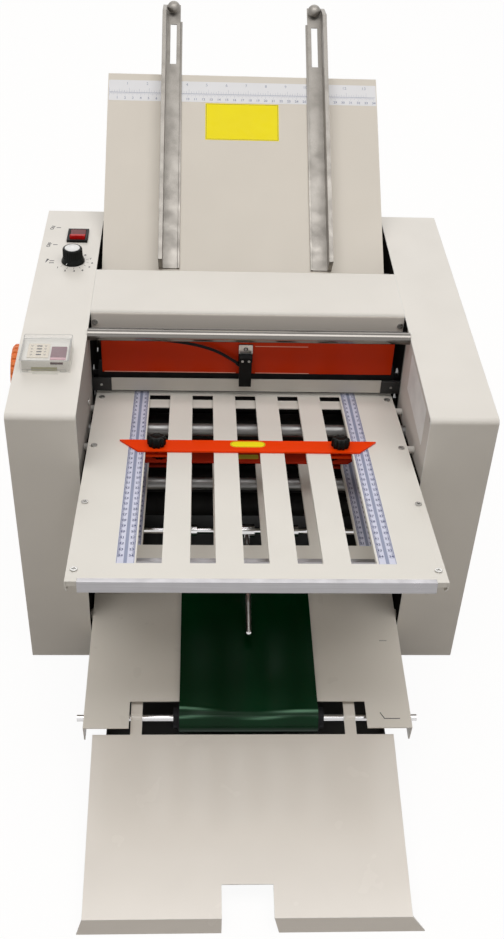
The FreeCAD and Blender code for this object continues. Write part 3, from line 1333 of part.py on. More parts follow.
PIECES = [
    left_housing, right_housing, side_plates, base_pan, rubber_feet, tie_rods, roller_bearings, top_cover,
    front_bar, red_guard, rest_strip, paper_sensor, sensor_cable, upper_plate_top, upper_plate_bottom,
    upper_plate_profile, lower_plate_top, lower_plate_bottom, lower_plate_profile, plate_screws,
    second_fold_plate, fourth_fold_plate, upper_stop_bar, upper_left_knob, upper_right_knob, lower_stop_bar,
    lower_left_knob, lower_right_knob, second_plate_stop, fourth_plate_stop, hand_wheel, feed_roller,
    feed_separator, motor, motor_pulley, drive_belts, feed_table, left_guide, right_guide, delivery_table,
    delivery_axle, conveyor_front_roller, conveyor_rear_roller, conveyor_belt, cross_rod, press_rod,
    press_wheels, catch_tray, switch_bezel, power_rocker, speed_knob, counter_case, counter_face,
    counter_cover,
]


def build():
    shapes = {piece.__name__: piece() for piece in PIECES}
    for index in range(len(ROLLERS)):
        shapes[f"fold_roller_{index + 1}"] = fold_roller(index)
    return shapes


def origin_shift(shapes):
    whole = Part.makeCompound(list(shapes.values())).BoundBox
    return Vector(-whole.Center.x, -whole.Center.y, -whole.ZMin)


SHAPES = build()
SHIFT = origin_shift(SHAPES)
os.makedirs("parts", exist_ok=True)
for name, shape in SHAPES.items():
    shape.translate(SHIFT)
    shape.exportStep(f"parts/{name}.step")
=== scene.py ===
# %% [markdown]
# # A desk-top paper folding machine
# Two painted steel housings stand on a base pan. Paper starts on the steep feed table at the rear, runs
# into slotted fold plates, and leaves on a green belt towards a catch tray. The shapes come packed from
# the CAD model, each as its own object. This notebook dresses them: it keeps the shapes that are right,
# builds finer ones over the rest, and gives every surface a finish made of shader nodes.

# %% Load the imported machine
import json
import math
import bmesh
import bpy
from mathutils import Matrix, Vector

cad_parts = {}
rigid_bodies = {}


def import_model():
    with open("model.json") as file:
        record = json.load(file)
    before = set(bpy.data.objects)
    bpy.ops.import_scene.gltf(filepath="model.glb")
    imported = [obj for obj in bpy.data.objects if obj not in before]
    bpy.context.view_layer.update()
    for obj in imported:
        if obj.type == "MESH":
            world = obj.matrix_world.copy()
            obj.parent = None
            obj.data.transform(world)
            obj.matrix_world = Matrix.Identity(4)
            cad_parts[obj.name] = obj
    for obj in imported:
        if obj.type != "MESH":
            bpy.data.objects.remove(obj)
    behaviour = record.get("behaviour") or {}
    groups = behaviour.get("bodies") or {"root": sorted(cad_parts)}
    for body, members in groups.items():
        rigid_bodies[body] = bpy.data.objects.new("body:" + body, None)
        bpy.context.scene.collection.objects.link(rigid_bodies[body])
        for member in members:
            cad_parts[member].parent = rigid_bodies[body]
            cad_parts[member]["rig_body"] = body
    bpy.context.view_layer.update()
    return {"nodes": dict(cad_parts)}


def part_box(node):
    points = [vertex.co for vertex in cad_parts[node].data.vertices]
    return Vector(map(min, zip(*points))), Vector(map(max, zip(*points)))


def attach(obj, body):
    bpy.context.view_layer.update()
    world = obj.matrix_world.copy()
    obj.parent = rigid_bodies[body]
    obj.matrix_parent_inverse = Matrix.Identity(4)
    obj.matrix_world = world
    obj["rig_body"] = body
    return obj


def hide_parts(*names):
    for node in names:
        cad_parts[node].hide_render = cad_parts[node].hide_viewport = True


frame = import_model()
MM = 0.001

# %% [markdown]
# ## The camera
# The photograph was taken by hand from above the delivery end, a little to the left. A camera is fully
# described by where it stands, three turns and a lens. Writing the turns as a right, up and back axis
# keeps each of them readable, and the tall picture uses the sensor's long side for its height.

# %% Camera
CAMERA_PLACE = Vector((-0.0472, -1.08173, 1.0578))
CAMERA_YAW = 0.0614
CAMERA_PITCH = 0.685
CAMERA_ROLL = 0.047
CAMERA_LENS = 44.77
SENSOR_WIDTH = 36.0
SIGHT_LIMIT = 20.0


def camera_axes(yaw, pitch, roll):
    flat = math.cos(pitch)
    ahead = Vector((math.sin(yaw) * flat, math.cos(yaw) * flat, -math.sin(pitch)))
    level = Vector((math.cos(yaw), -math.sin(yaw), 0.0))
    upward = level.cross(ahead)
    right = math.cos(roll) * level + math.sin(roll) * upward
    up = math.cos(roll) * upward - math.sin(roll) * level
    return Matrix((right, up, -ahead)).transposed()


lens = bpy.data.cameras.new("photo_lens")
lens.sensor_width = SENSOR_WIDTH
lens.lens = CAMERA_LENS
lens.clip_end = SIGHT_LIMIT
camera = bpy.data.objects.new("photo_camera", lens)
turn = camera_axes(CAMERA_YAW, CAMERA_PITCH, CAMERA_ROLL).to_4x4()
camera.matrix_world = Matrix.Translation(CAMERA_PLACE) @ turn
bpy.context.scene.collection.objects.link(camera)
bpy.context.scene.camera = camera
print("camera looks along", [round(v, 3) for v in turn.col[2][:3]])

# %% [markdown]
# ## Sums inside node trees
# Shader trees add, compare and blend with nodes, one node for each sum. The studio's air, the floor and
# several paints need them, and wiring each by hand hides what is meant. So each kind of sum gets a helper
# that takes plain values or the sockets of other nodes, and hands back the socket with the answer.

# %% Helpers for sums and blends
scene = bpy.context.scene
scene.view_settings.view_transform = "Standard"


def feed(tree, socket, value):
    if isinstance(value, bpy.types.NodeSocket):
        tree.links.new(value, socket)
    else:
        socket.default_value = value


def worked_out(tree, operation, *values):
    node = tree.nodes.new("ShaderNodeMath")
    node.operation = operation
    for socket, value in zip(node.inputs, values):
        feed(tree, socket, value)
    return node.outputs[0]


def rescaled(tree, value, start=0.0, end=1.0, low=0.0, high=1.0):
    node = tree.nodes.new("ShaderNodeMapRange")
    for name, number in (("From Min", start), ("From Max", end), ("To Min", low), ("To Max", high)):
        node.inputs[name].default_value = number
    feed(tree, node.inputs["Value"], value)
    return node.outputs[0]


def blended(tree, factor, first, second):
    node = tree.nodes.new("ShaderNodeMix")
    node.data_type = "RGBA"
    for name, value in (("Factor", factor), ("A", first), ("B", second)):
        feed(tree, node.inputs[name], value)
    return node.outputs["Result"]


print("colours are shown with the", scene.view_settings.view_transform, "view")

# %% [markdown]
# ## Soft studio light
# The real machine stood under a wide soft light, so its upper faces are bright, its fronts fall off and
# the glossy paint shows broad pale reflections. A wide lamp overhead does most of it. A second one behind
# lights the feed table and the backs of the edges, and a weak one in front lifts the fronts a little.

# %% Lamps
# name: where it hangs, where it aims, width and depth in metres, watts
LAMPS = {
    "overhead_softbox": ((0.0, -0.5, 2.35), (0.0, -0.15, 0.3), (2.6, 1.3), 31.0),
    "rear_softbox": ((0.0, 2.5, 1.9), (0.0, 0.0, 0.3), (2.8, 1.5), 17.0),
    "front_fill": ((-0.9, -2.4, 1.3), (0.0, 0.0, 0.25), (1.6, 1.0), 1.0),
}
for name, (place, aim, (width, depth), watts) in LAMPS.items():
    lamp = bpy.data.lights.new(name, "AREA")
    lamp.shape = "RECTANGLE"
    lamp.size, lamp.size_y = width, depth
    lamp.energy = watts
    holder = bpy.data.objects.new(name, lamp)
    holder.location = place
    holder.rotation_euler = (Vector(aim) - Vector(place)).to_track_quat("-Z", "Y").to_euler()
    scene.collection.objects.link(holder)

# %% [markdown]
# ## The air of the studio
# The world plays two parts here. The camera, reflections and clear plastic see it as plain white. The paint
# is lit by it only dimly and a little warmly, so the background can be white while the machine isn't
# overexposed. The Light Path node tells the two apart.

# %% World
AIR_LIGHT = 0.27
WARM_AIR = (1.0, 0.95, 0.89, 1.0)
WHITE_AIR = (1.0, 1.0, 1.0, 1.0)
world = bpy.data.worlds.new("white_studio")
scene.world = world
world.use_nodes = True
air = world.node_tree
ray = air.nodes.new("ShaderNodeLightPath").outputs
looked_at = worked_out(air, "MAXIMUM", ray["Is Camera Ray"], ray["Is Glossy Ray"])
looked_at = worked_out(air, "MAXIMUM", looked_at, ray["Is Transmission Ray"])
background = air.nodes["Background"].inputs
feed(air, background["Strength"], rescaled(air, looked_at, low=AIR_LIGHT))
feed(air, background["Color"], blended(air, looked_at, WARM_AIR, WHITE_AIR))
print("the air lights paint at", AIR_LIGHT, "of white")

# %% [markdown]
# ## The table top
# The machine stands on white. A plain pale floor carries the soft shadow under it. Its own paint is mixed
# with some white glow that only the camera and reflections see, so that the ground fades into the
# background and the shadow stays.

# %% Floor
FLOOR_TONE = (0.35, 0.325, 0.295)
FLOOR_GLOW = 1.2
GLOW_SHARE = 0.78
FLOOR_HALF = 4.0


def pale_floor():
    made = bpy.data.materials.new("pale_floor")
    made.use_nodes = True
    tree = made.node_tree
    paint = tree.nodes["Principled BSDF"]
    paint.inputs["Base Color"].default_value = (*FLOOR_TONE, 1.0)
    paint.inputs["Roughness"].default_value = 0.9
    glow = tree.nodes.new("ShaderNodeEmission")
    glow.inputs["Strength"].default_value = FLOOR_GLOW
    ray = tree.nodes.new("ShaderNodeLightPath").outputs
    looked_at = worked_out(tree, "MAXIMUM", ray["Is Camera Ray"], ray["Is Glossy Ray"])
    mix = tree.nodes.new("ShaderNodeMixShader")
    feed(tree, mix.inputs["Fac"], worked_out(tree, "MULTIPLY", looked_at, GLOW_SHARE))
    feed(tree, mix.inputs[1], paint.outputs[0])
    feed(tree, mix.inputs[2], glow.outputs[0])
    feed(tree, tree.nodes["Material Output"].inputs["Surface"], mix.outputs[0])
    return made


CORNERS = ((-1, -1), (1, -1), (1, 1), (-1, 1))
floor_mesh = bpy.data.meshes.new("floor")
floor_mesh.from_pydata([(x * FLOOR_HALF, y * FLOOR_HALF, 0.0) for x, y in CORNERS], [], [(0, 1, 2, 3)])
floor_mesh.materials.append(pale_floor())
floor = bpy.data.objects.new("floor", floor_mesh)
scene.collection.objects.link(floor)
print("floor reaches", FLOOR_HALF, "m each way")

# %% [markdown]
# ## A small workshop of finishes
# Real surfaces are never one flat colour: powder paint has an orange-peel skin and drifts in tone,
# rolled steel has fine lines along its grain, rubber is dusty. Every finish below starts from the same
# helper, which lays noise on the piece in its own Object coordinates. Scales are given as the size of one
# blotch in millimetres, so that they can be checked against the real thing.

# %% A plain finish
COAT_ROUGHNESS = 0.12


def shader_of(made):
    return made.node_tree.nodes["Principled BSDF"].inputs


def finish(name, colour, rough, metal=0.0, coat=0.0, specular=0.3):
    made = bpy.data.materials.new(name)
    made.use_nodes = True
    given = {"Base Color": (*colour, 1.0), "Roughness": rough, "Metallic": metal, "Coat Weight": coat,
             "Coat Roughness": COAT_ROUGHNESS, "Specular IOR Level": specular}
    for socket, value in given.items():
        shader_of(made)[socket].default_value = value
    made.diffuse_color = (*colour, 1.0)
    return made


def shade(colour, factor):
    return tuple(min(1.0, c * factor) for c in colour)


print("half of a pale paint's tone is", shade((0.8, 0.8, 0.8), 0.5))


# %% Noise measured in millimetres
def blotches(made, size_mm, stretch=(1.0, 1.0, 1.0), detail=2.0):
    tree = made.node_tree
    place = tree.nodes.new("ShaderNodeTexCoord")
    spread = tree.nodes.new("ShaderNodeMapping")
    spread.inputs["Scale"].default_value = stretch
    noise = tree.nodes.new("ShaderNodeTexNoise")
    noise.inputs["Scale"].default_value = 1.0 / MM / size_mm
    noise.inputs["Detail"].default_value = detail
    tree.links.new(place.outputs["Object"], spread.inputs["Vector"])
    tree.links.new(spread.outputs[0], noise.inputs["Vector"])
    return noise.outputs["Fac"]


print("blotches of 2 mm are noise of scale", round(1.0 / MM / 2.0))


# %% Noise that drives tone, gloss and height
def tone(made, field, low, high, narrow=0.25):
    tree = made.node_tree
    ramp = tree.nodes.new("ShaderNodeValToRGB")
    for stop, position, colour in zip(ramp.color_ramp.elements, (0.5 - narrow, 0.5 + narrow), (low, high)):
        stop.position = position
        stop.color = (*colour, 1.0)
    tree.links.new(field, ramp.inputs["Fac"])
    tree.links.new(ramp.outputs["Color"], shader_of(made)["Base Color"])
    return made


def sheen_range(made, field, smooth, rough):
    gloss = rescaled(made.node_tree, field, 0.3, 0.7, smooth, rough)
    feed(made.node_tree, shader_of(made)["Roughness"], gloss)
    return made


def raised(made, field, height_mm, strength=1.0):
    tree = made.node_tree
    bump = tree.nodes.new("ShaderNodeBump")
    bump.inputs["Distance"].default_value = height_mm * MM
    bump.inputs["Strength"].default_value = strength
    tree.links.new(field, bump.inputs["Height"])
    tree.links.new(bump.outputs[0], shader_of(made)["Normal"])
    return made


def painted_over(made, colour, factor):
    base = shader_of(made)["Base Color"]
    under = base.links[0].from_socket
    feed(made.node_tree, base, blended(made.node_tree, factor, under, (*colour, 1.0)))
    return made


print("helpers ready; materials so far:", len(bpy.data.materials))

# %% [markdown]
# ## Powder paint
# The housings, plates and tray are sheet steel with warm pale grey powder paint. Up close it has an
# orange-peel skin about two millimetres across, which breaks the edge of every reflection. A photograph
# could be wrapped round it, but two noises do it without pictures: a slow one drifts the tone and the
# gloss, a quick one raises the skin.

# %% Powder paint
def powder_paint(name, colour, rough=0.32, peel_mm=2.2, height_mm=0.05, drift=0.025, coat=0.0, specular=0.3):
    made = finish(name, colour, rough, coat=coat, specular=specular)
    cloud = blotches(made, 90.0)
    tone(made, cloud, shade(colour, 1.0 - drift), shade(colour, 1.0 + drift))
    sheen_range(made, blotches(made, 35.0), rough * 0.9, rough * 1.15)
    return raised(made, blotches(made, peel_mm, detail=1.0), height_mm, 0.6)


HOUSING_TONE = (0.79, 0.755, 0.70)
PLATE_TONE = (0.78, 0.75, 0.69)
housing_paint = powder_paint("housing_powder_paint", HOUSING_TONE, 0.36)
plate_paint = powder_paint("plate_powder_paint", PLATE_TONE, 0.34, height_mm=0.035)
table_paint = powder_paint("feed_table_paint", (0.75, 0.695, 0.615), 0.42, height_mm=0.035)
tray_paint = powder_paint("tray_powder_paint", (0.90, 0.84, 0.765), 0.24, peel_mm=2.8, height_mm=0.06, coat=0.7)
delivery_paint = powder_paint("delivery_table_paint", (0.88, 0.83, 0.75), 0.3)
# Paler paint for rounded edges: partly paint worn thin, partly a painted highlight along each edge
bright_edge = powder_paint("paint_thinned_on_edges", (0.86, 0.85, 0.83), 0.3)
dark_paint = powder_paint("dark_chassis_paint", (0.07, 0.07, 0.07), 0.5)
motor_paint = powder_paint("motor_paint", (0.20, 0.20, 0.21), 0.42)
case_plastic = powder_paint("counter_case_plastic", (0.80, 0.78, 0.73), 0.38, peel_mm=0.9, height_mm=0.02)
print("pale and dark paints:", [m.name for m in bpy.data.materials if "paint" in m.name])

# %% Red and orange enamels
# A bright enamel keeps its colour only if little white light is mirrored on top, so its specular is low.
ENAMEL_SPECULAR = 0.1
red_paint = powder_paint("red_guard_enamel", (0.56, 0.032, 0.003), 0.22, peel_mm=9.0, height_mm=0.03,
                         specular=ENAMEL_SPECULAR)
orange_paint = powder_paint("orange_stop_paint", (0.90, 0.05, 0.0), 0.36, drift=0.05, specular=ENAMEL_SPECULAR)
# The lower stop bar's red is the upper bar's orange darkened: painted shade for its place under the upper plate
lower_stop_paint = powder_paint("lower_stop_paint", (0.50, 0.03, 0.01), 0.32, specular=ENAMEL_SPECULAR)
print("guard, upper stop and lower stop have enamels of their own")

# %% [markdown]
# ## Metals
# Rolled and drawn metal carries its direction: the lines on the alloy profile run along it, a turned
# shaft has rings round it. Noise stretched a hundred times along one axis gives such lines. Chrome is
# left almost smooth, with only a light haze of handling.

# %% Metals
def drawn_metal(name, colour, rough, along, line_mm=0.5, height_mm=0.01):
    made = finish(name, colour, rough, metal=1.0)
    grain = blotches(made, line_mm, stretch=along, detail=3.0)
    tone(made, grain, shade(colour, 0.84), shade(colour, 1.08))
    sheen_range(made, blotches(made, 18.0), rough * 0.75, rough * 1.3)
    return raised(made, grain, height_mm, 0.5)


ALONG_X = (0.01, 1.0, 1.0)
ALONG_Y = (1.0, 0.01, 1.0)
aluminium = drawn_metal("extruded_alloy", (0.40, 0.39, 0.40), 0.36, ALONG_X, 0.7)
bar_metal = drawn_metal("satin_cross_bar", (0.21, 0.195, 0.18), 0.13, ALONG_X, 1.2, 0.004)
bare_steel = drawn_metal("ground_steel", (0.20, 0.195, 0.19), 0.42, ALONG_X)
guide_metal = drawn_metal("brushed_guide_steel", (0.30, 0.28, 0.255), 0.5, ALONG_Y, 0.6, 0.002)
chrome = drawn_metal("chrome_plate", (0.72, 0.71, 0.71), 0.1, ALONG_X, 2.0, 0.002)
EVEN = (1.0, 1.0, 1.0)
screw_steel = drawn_metal("screw_steel", (0.50, 0.49, 0.47), 0.30, EVEN, 1.2)
print("metals:", [m.name for m in (aluminium, bar_metal, bare_steel, guide_metal, chrome, screw_steel)])

# %% [markdown]
# ## Rubber, plastics and the belt
# Black parts are never quite black: dust and handling lift them unevenly. One recipe serves rubber, plastic
# and the cable's sheath, with a coarser grain and more dust for rubber and a tighter gloss for the knobs.

# %% Rubber and plastics
def grained(name, colour, rough, grain_mm, height_mm, dust=0.35, coat=0.0):
    made = finish(name, colour, rough, coat=coat, specular=0.08)
    tone(made, blotches(made, 14.0, detail=4.0), shade(colour, 1.0 - dust), shade(colour, 1.0 + dust))
    sheen_range(made, blotches(made, 22.0), rough * 0.85, rough * 1.15)
    return raised(made, blotches(made, grain_mm), height_mm)


roller_rubber = grained("roller_rubber", (0.016, 0.015, 0.015), 0.62, 0.6, 0.05)
feed_rubber = grained("feed_rubber", (0.09, 0.08, 0.07), 0.7, 0.5, 0.06)
foot_rubber = grained("foot_rubber", (0.03, 0.03, 0.03), 0.75, 0.8, 0.06)
drive_rubber = grained("drive_belt_rubber", (0.03, 0.03, 0.03), 0.6, 1.0, 0.05)
black_plastic = grained("black_moulding", (0.009, 0.009, 0.009), 0.36, 0.5, 0.02)
knob_plastic = grained("knob_moulding", (0.006, 0.007, 0.006), 0.26, 0.7, 0.01, coat=0.05)
roller_plastic = grained("end_ring_moulding", (0.02, 0.02, 0.022), 0.4, 0.8, 0.02)
cable_sheath = grained("cable_sheath", (0.014, 0.014, 0.014), 0.38, 1.2, 0.03)
wheel_white = grained("press_wheel_nylon", (0.72, 0.71, 0.67), 0.42, 1.0, 0.02, dust=0.06)
wheel_orange = grained("hand_wheel_plastic", (0.92, 0.24, 0.06), 0.34, 0.8, 0.02, dust=0.08, coat=0.3)
rocker_red = grained("rocker_red_plastic", (0.55, 0.006, 0.006), 0.2, 2.0, 0.01, dust=0.1, coat=0.15)
print("finishes made:", len(bpy.data.materials))

# %% [markdown]
# ## The belt's skin
# The green belt is smooth and shiny, with a tone that drifts along it. On the ripples near the front roller
# the finish paints a highlight in pale green, standing in for the lamps' shine on the crests. A pattern in
# space can't know where the ripples are, but the mesh does: it carries a number for the painted highlight
# at every point, and the finish blends towards pale green by it.

# %% Belt skin
# Pale green of the painted highlight on the ripple crests
PAINTED_HIGHLIGHT_GREEN = (0.22, 0.46, 0.30)


def belt_skin():
    made = finish("green_belt_skin", (0.002, 0.035, 0.010), 0.16, specular=0.12)
    tone(made, blotches(made, 60.0, stretch=(1.0, 0.25, 1.0)), (0.0, 0.020, 0.004), (0.0005, 0.040, 0.011))
    sheen_range(made, blotches(made, 40.0, stretch=(1.0, 0.3, 1.0)), 0.16, 0.26)
    raised(made, blotches(made, 1.4), 0.006)
    # The mesh's number for the painted highlight sets how much pale green shows
    crest = made.node_tree.nodes.new("ShaderNodeAttribute")
    crest.attribute_name = "crest"
    return painted_over(made, PAINTED_HIGHLIGHT_GREEN, crest.outputs["Fac"])


belt_green = belt_skin()
# The print shows the green of the painted highlight on the crests
print("the belt's creases turn", PAINTED_HIGHLIGHT_GREEN)

# %% [markdown]
# ## Dressing the imported shapes
# Where a imported shape is already right, it stays and only takes a finish. A sheet-metal part looks wrong
# with knife edges, though: real paint is thinner on an edge and catches the light. `softened` copies such
# a part, merges its loose triangles back into plates, rounds its edges with the Bevel modifier, and
# gives the rounds their own finish, often a paler paint that is partly paint worn thin and partly a painted
# highlight along the edge. Bending the shape by hand would do the same with far more work.

# %% Helpers for meshes and pieces
nodes = frame["nodes"]


def repaint(mesh, skin):
    for i in range(len(mesh.materials)):
        mesh.materials[i] = skin
    if not mesh.materials:
        mesh.materials.append(skin)


def plain_mesh(holder):
    if holder.name not in scene.collection.objects:
        scene.collection.objects.link(holder)
    bpy.context.view_layer.update()
    graph = bpy.context.evaluated_depsgraph_get()
    result = holder.evaluated_get(graph)
    mesh = bpy.data.meshes.new_from_object(result, preserve_all_data_layers=True, depsgraph=graph)
    bpy.data.objects.remove(holder)
    return mesh


def placed(name, mesh, body, replaces=()):
    piece = bpy.data.objects.new(name, mesh)
    mesh.name = name
    scene.collection.objects.link(piece)
    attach(piece, body)
    if replaces:
        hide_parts(*replaces)
    return piece


print("packed parts to dress:", len(nodes))

# %% Rounding a sheet-metal part
FLAT_FROM_MM2 = 1200.0
MERGE_MM = 0.01
FLAT_WITHIN = math.radians(1.5)
ROUND_FROM = math.radians(35.0)
SHARP_FROM = math.radians(40.0)


def merged(mesh):
    work = bmesh.new()
    work.from_mesh(mesh)
    bmesh.ops.remove_doubles(work, verts=work.verts, dist=MERGE_MM * MM)
    bmesh.ops.dissolve_limit(work, angle_limit=FLAT_WITHIN, verts=work.verts, edges=work.edges)
    for face in work.faces:
        face.material_index = 0
    work.to_mesh(mesh)
    work.free()


def softened(node, skin, edge, round_mm):
    mesh = nodes[node].data.copy()
    mesh.materials.clear()
    mesh.materials.append(skin)
    mesh.materials.append(edge)
    merged(mesh)
    blank = bpy.data.objects.new("blank", mesh)
    bevel = blank.modifiers.new("edges", "BEVEL")
    bevel.width = round_mm * MM
    bevel.segments = 2
    bevel.limit_method = "ANGLE"
    bevel.angle_limit = ROUND_FROM
    bevel.material = 1
    made = plain_mesh(blank)
    # Marking sharp edges forgets which faces are flat, so the large flat ones are named afterwards.
    made.set_sharp_from_angle(angle=SHARP_FROM)
    for face in made.polygons:
        face.use_smooth = face.area < FLAT_FROM_MM2 * MM * MM
    return placed(node + "_soft", made, nodes[node]["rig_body"], (node,))


print("faces above", FLAT_FROM_MM2, "square mm are shaded flat")

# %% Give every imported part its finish
SKINS = (
    (housing_paint, "left_housing right_housing top_cover"),
    (dark_paint, "base_pan"),
    (plate_paint, "rest_strip upper_plate_top upper_plate_bottom lower_plate_top lower_plate_bottom"),
    (plate_paint, "second_fold_plate fourth_fold_plate"),
    (table_paint, "feed_table"),
    (delivery_paint, "delivery_table"),
    (tray_paint, "catch_tray"),
    (red_paint, "red_guard"),
    (orange_paint, "upper_stop_bar"),
    (lower_stop_paint, "lower_stop_bar"),
    (motor_paint, "motor"),
    (aluminium, "upper_plate_profile lower_plate_profile motor_pulley"),
    (bar_metal, "front_bar"),
    (bare_steel, "tie_rods roller_bearings second_plate_stop fourth_plate_stop"),
    (guide_metal, "left_guide right_guide"),
    (chrome, "delivery_axle cross_rod press_rod"),
    (screw_steel, "plate_screws"),
    (roller_rubber, " ".join(f"fold_roller_{i}" for i in range(1, 7))),
    (feed_rubber, "feed_roller"),
    (foot_rubber, "rubber_feet"),
    (drive_rubber, "drive_belts"),
    (cable_sheath, "sensor_cable"),
    (belt_green, "conveyor_belt"),
    (black_plastic, "paper_sensor feed_separator switch_bezel"),
    (knob_plastic, "upper_left_knob upper_right_knob lower_left_knob lower_right_knob speed_knob"),
    (roller_plastic, "conveyor_front_roller conveyor_rear_roller"),
    (wheel_white, "press_wheels"),
    (wheel_orange, "hand_wheel"),
    (rocker_red, "power_rocker"),
    (case_plastic, "counter_case counter_face counter_cover"),
)
dressed_parts = []
for skin, part_names in SKINS:
    for part_name in part_names.split():
        repaint(nodes[part_name].data, skin)
        dressed_parts.append(part_name)
print("packed parts dressed:", len(dressed_parts), "; later:", sorted(set(nodes) - set(dressed_parts)))

# %% Softened sheet metal and mouldings
# part: finish on its rounded edges, or None where they keep its own; radius in mm
SOFTENED = {
    "left_housing": (bright_edge, 0.5),
    "right_housing": (bright_edge, 0.5),
    "top_cover": (bright_edge, 0.4),
    "red_guard": (None, 1.0),
    "rest_strip": (bright_edge, 0.3),
    "upper_plate_top": (bright_edge, 0.35),
    "lower_plate_top": (bright_edge, 0.35),
    "upper_plate_profile": (None, 0.25),
    "feed_table": (None, 0.4),
    "left_guide": (None, 0.3),
    "right_guide": (None, 0.3),
    "delivery_table": (bright_edge, 0.4),
    "catch_tray": (bright_edge, 0.4),
    "upper_stop_bar": (None, 0.4),
    "lower_stop_bar": (None, 0.4),
    "switch_bezel": (None, 0.5),
    "hand_wheel": (None, 0.6),
    "counter_case": (None, 0.4),
    "power_rocker": (None, 0.4),
    "second_fold_plate": (bright_edge, 0.3),
    "fourth_fold_plate": (bright_edge, 0.3),
    "base_pan": (None, 0.4),
}
for part_name, (edge, round_mm) in SOFTENED.items():
    skin = nodes[part_name].data.materials[0]
    piece = softened(part_name, skin, edge or skin, round_mm)
    print(part_name, "softened:", len(piece.data.polygons), "faces")

# %% [markdown]
# ## Working on a slope
# The plates, the feed table and the tray all lie at their own slope. Instead of working out every point
# in the room, each slope gets a small frame of its own: x across, y up the slope, z straight out of the
# sheet. A thing is drawn flat in millimetres and then laid on its slope by one matrix.

# %% Slopes
def spot(x, y, z=0.0, turn_deg=0.0):
    """A place given in millimetres, turned about z."""
    return Matrix.Translation((x * MM, y * MM, z * MM)) @ Matrix.Rotation(math.radians(turn_deg), 4, "Z")


def slope(x, y, z, degrees):
    return spot(x, y, z) @ Matrix.Rotation(math.radians(degrees), 4, "X")


PLATE_SLOPE_DEG = -9.13
PLATE_MIDDLE = 8.6
HOUSING_MIDDLE = 10.5
UPPER = slope(PLATE_MIDDLE, -341.935, 322.8, PLATE_SLOPE_DEG)
LOWER = slope(PLATE_MIDDLE, -237.052, 247.515, PLATE_SLOPE_DEG)
TABLE = slope(8.75, 408.165, 495.2, 34.3)
DELIVERY = slope(HOUSING_MIDDLE, -296.319, 60.305, 3.24)
TRAY = slope(HOUSING_MIDDLE, -274.575, 49.517, 8.4)
LEVEL = Matrix.Identity(4)
STAND = Matrix.Rotation(math.radians(90.0), 4, "X")
LIE_ALONG_X = Matrix.Rotation(math.radians(90.0), 4, "Y")


def height_range(node, plane):
    flat = plane.inverted()
    heights = [(flat @ v.co).z / MM for v in nodes[node].data.vertices]
    return min(heights), max(heights)


print("upper stop bar stands", [round(h, 2) for h in height_range("upper_stop_bar", UPPER)], "mm off its plate")


# %% Outlines in millimetres
def rounded(width, depth, corner, x=0.0, y=0.0, steps=4):
    outline = []
    for quarter, (sx, sy) in enumerate(((1, 1), (-1, 1), (-1, -1), (1, -1))):
        for step in range(steps + 1):
            angle = math.pi / 2 * (quarter + step / steps)
            px = x + sx * (width / 2 - corner) + corner * math.cos(angle)
            py = y + sy * (depth / 2 - corner) + corner * math.sin(angle)
            outline.append((px, py))
    return outline


def disc(radius, steps=20, x=0.0, y=0.0):
    ring = [math.tau * i / steps for i in range(steps)]
    return [(x + radius * math.cos(a), y + radius * math.sin(a)) for a in ring]


print("a rounded outline has", len(rounded(10.0, 10.0, 2.0)), "points")


# %% Sheets cut to an outline
def cut_sheet(outlines, thick_mm, round_mm=0.0):
    shape = bpy.data.curves.new("outline", "CURVE")
    shape.dimensions = "2D"
    shape.fill_mode = "BOTH"
    shape.extrude = (thick_mm / 2 - round_mm) * MM
    shape.bevel_depth = round_mm * MM
    shape.bevel_resolution = 1
    shape.offset = -round_mm * MM
    for outline in outlines:
        line = shape.splines.new("POLY")
        line.points.add(len(outline) - 1)
        for point, (x, y) in zip(line.points, outline):
            point.co = (x * MM, y * MM, 0.0, 1.0)
        line.use_cyclic_u = True
    mesh = plain_mesh(bpy.data.objects.new("outline", shape))
    mesh.transform(Matrix.Translation((0.0, 0.0, thick_mm / 2 * MM)))
    return mesh


def gathered(name, parts, skin):
    points, faces = [], []
    for mesh, place in parts:
        first = len(points)
        points += [place @ v.co for v in mesh.vertices]
        faces += [tuple(first + i for i in face.vertices) for face in mesh.polygons]
    made = bpy.data.meshes.new(name)
    made.from_pydata(points, [], faces)
    made.materials.append(skin)
    made.update()
    return made


def smooth(mesh, sharp_deg=38.0):
    for face in mesh.polygons:
        face.use_smooth = True
    mesh.set_sharp_from_angle(angle=math.radians(sharp_deg))
    return mesh


def laid(name, parts, skin, body="frame", slot="plate_paint", replaces=(), sharp_deg=None):
    mesh = gathered(name, parts, skin)
    if sharp_deg:
        smooth(mesh, sharp_deg)
    return placed(name, mesh, body, replaces)


print("a plain 10 mm sheet has", len(cut_sheet([rounded(10.0, 10.0, 1.0)], 1.0).polygons), "faces")

# %% [markdown]
# ## Printed rulers
# Both fold plates carry a pair of vinyl rulers beside the slots, and the feed table has one across its
# top. A ruler is a rule made visible: a tick each millimetre, a longer one at five and at ten. That is a
# job for Geometry Nodes. One tree places thin strips on a line of points and picks their length from the
# point's number. The numerals are text turned into flat mesh, and they count away from the rollers.

# %% Vinyl and inks
def vinyl(name, colour, rough=0.34, drift=0.02):
    made = finish(name, colour, rough)
    tone(made, blotches(made, 28.0), shade(colour, 1.0 - drift), shade(colour, 1.0 + drift))
    return sheen_range(made, blotches(made, 9.0), rough * 0.85, rough * 1.2)


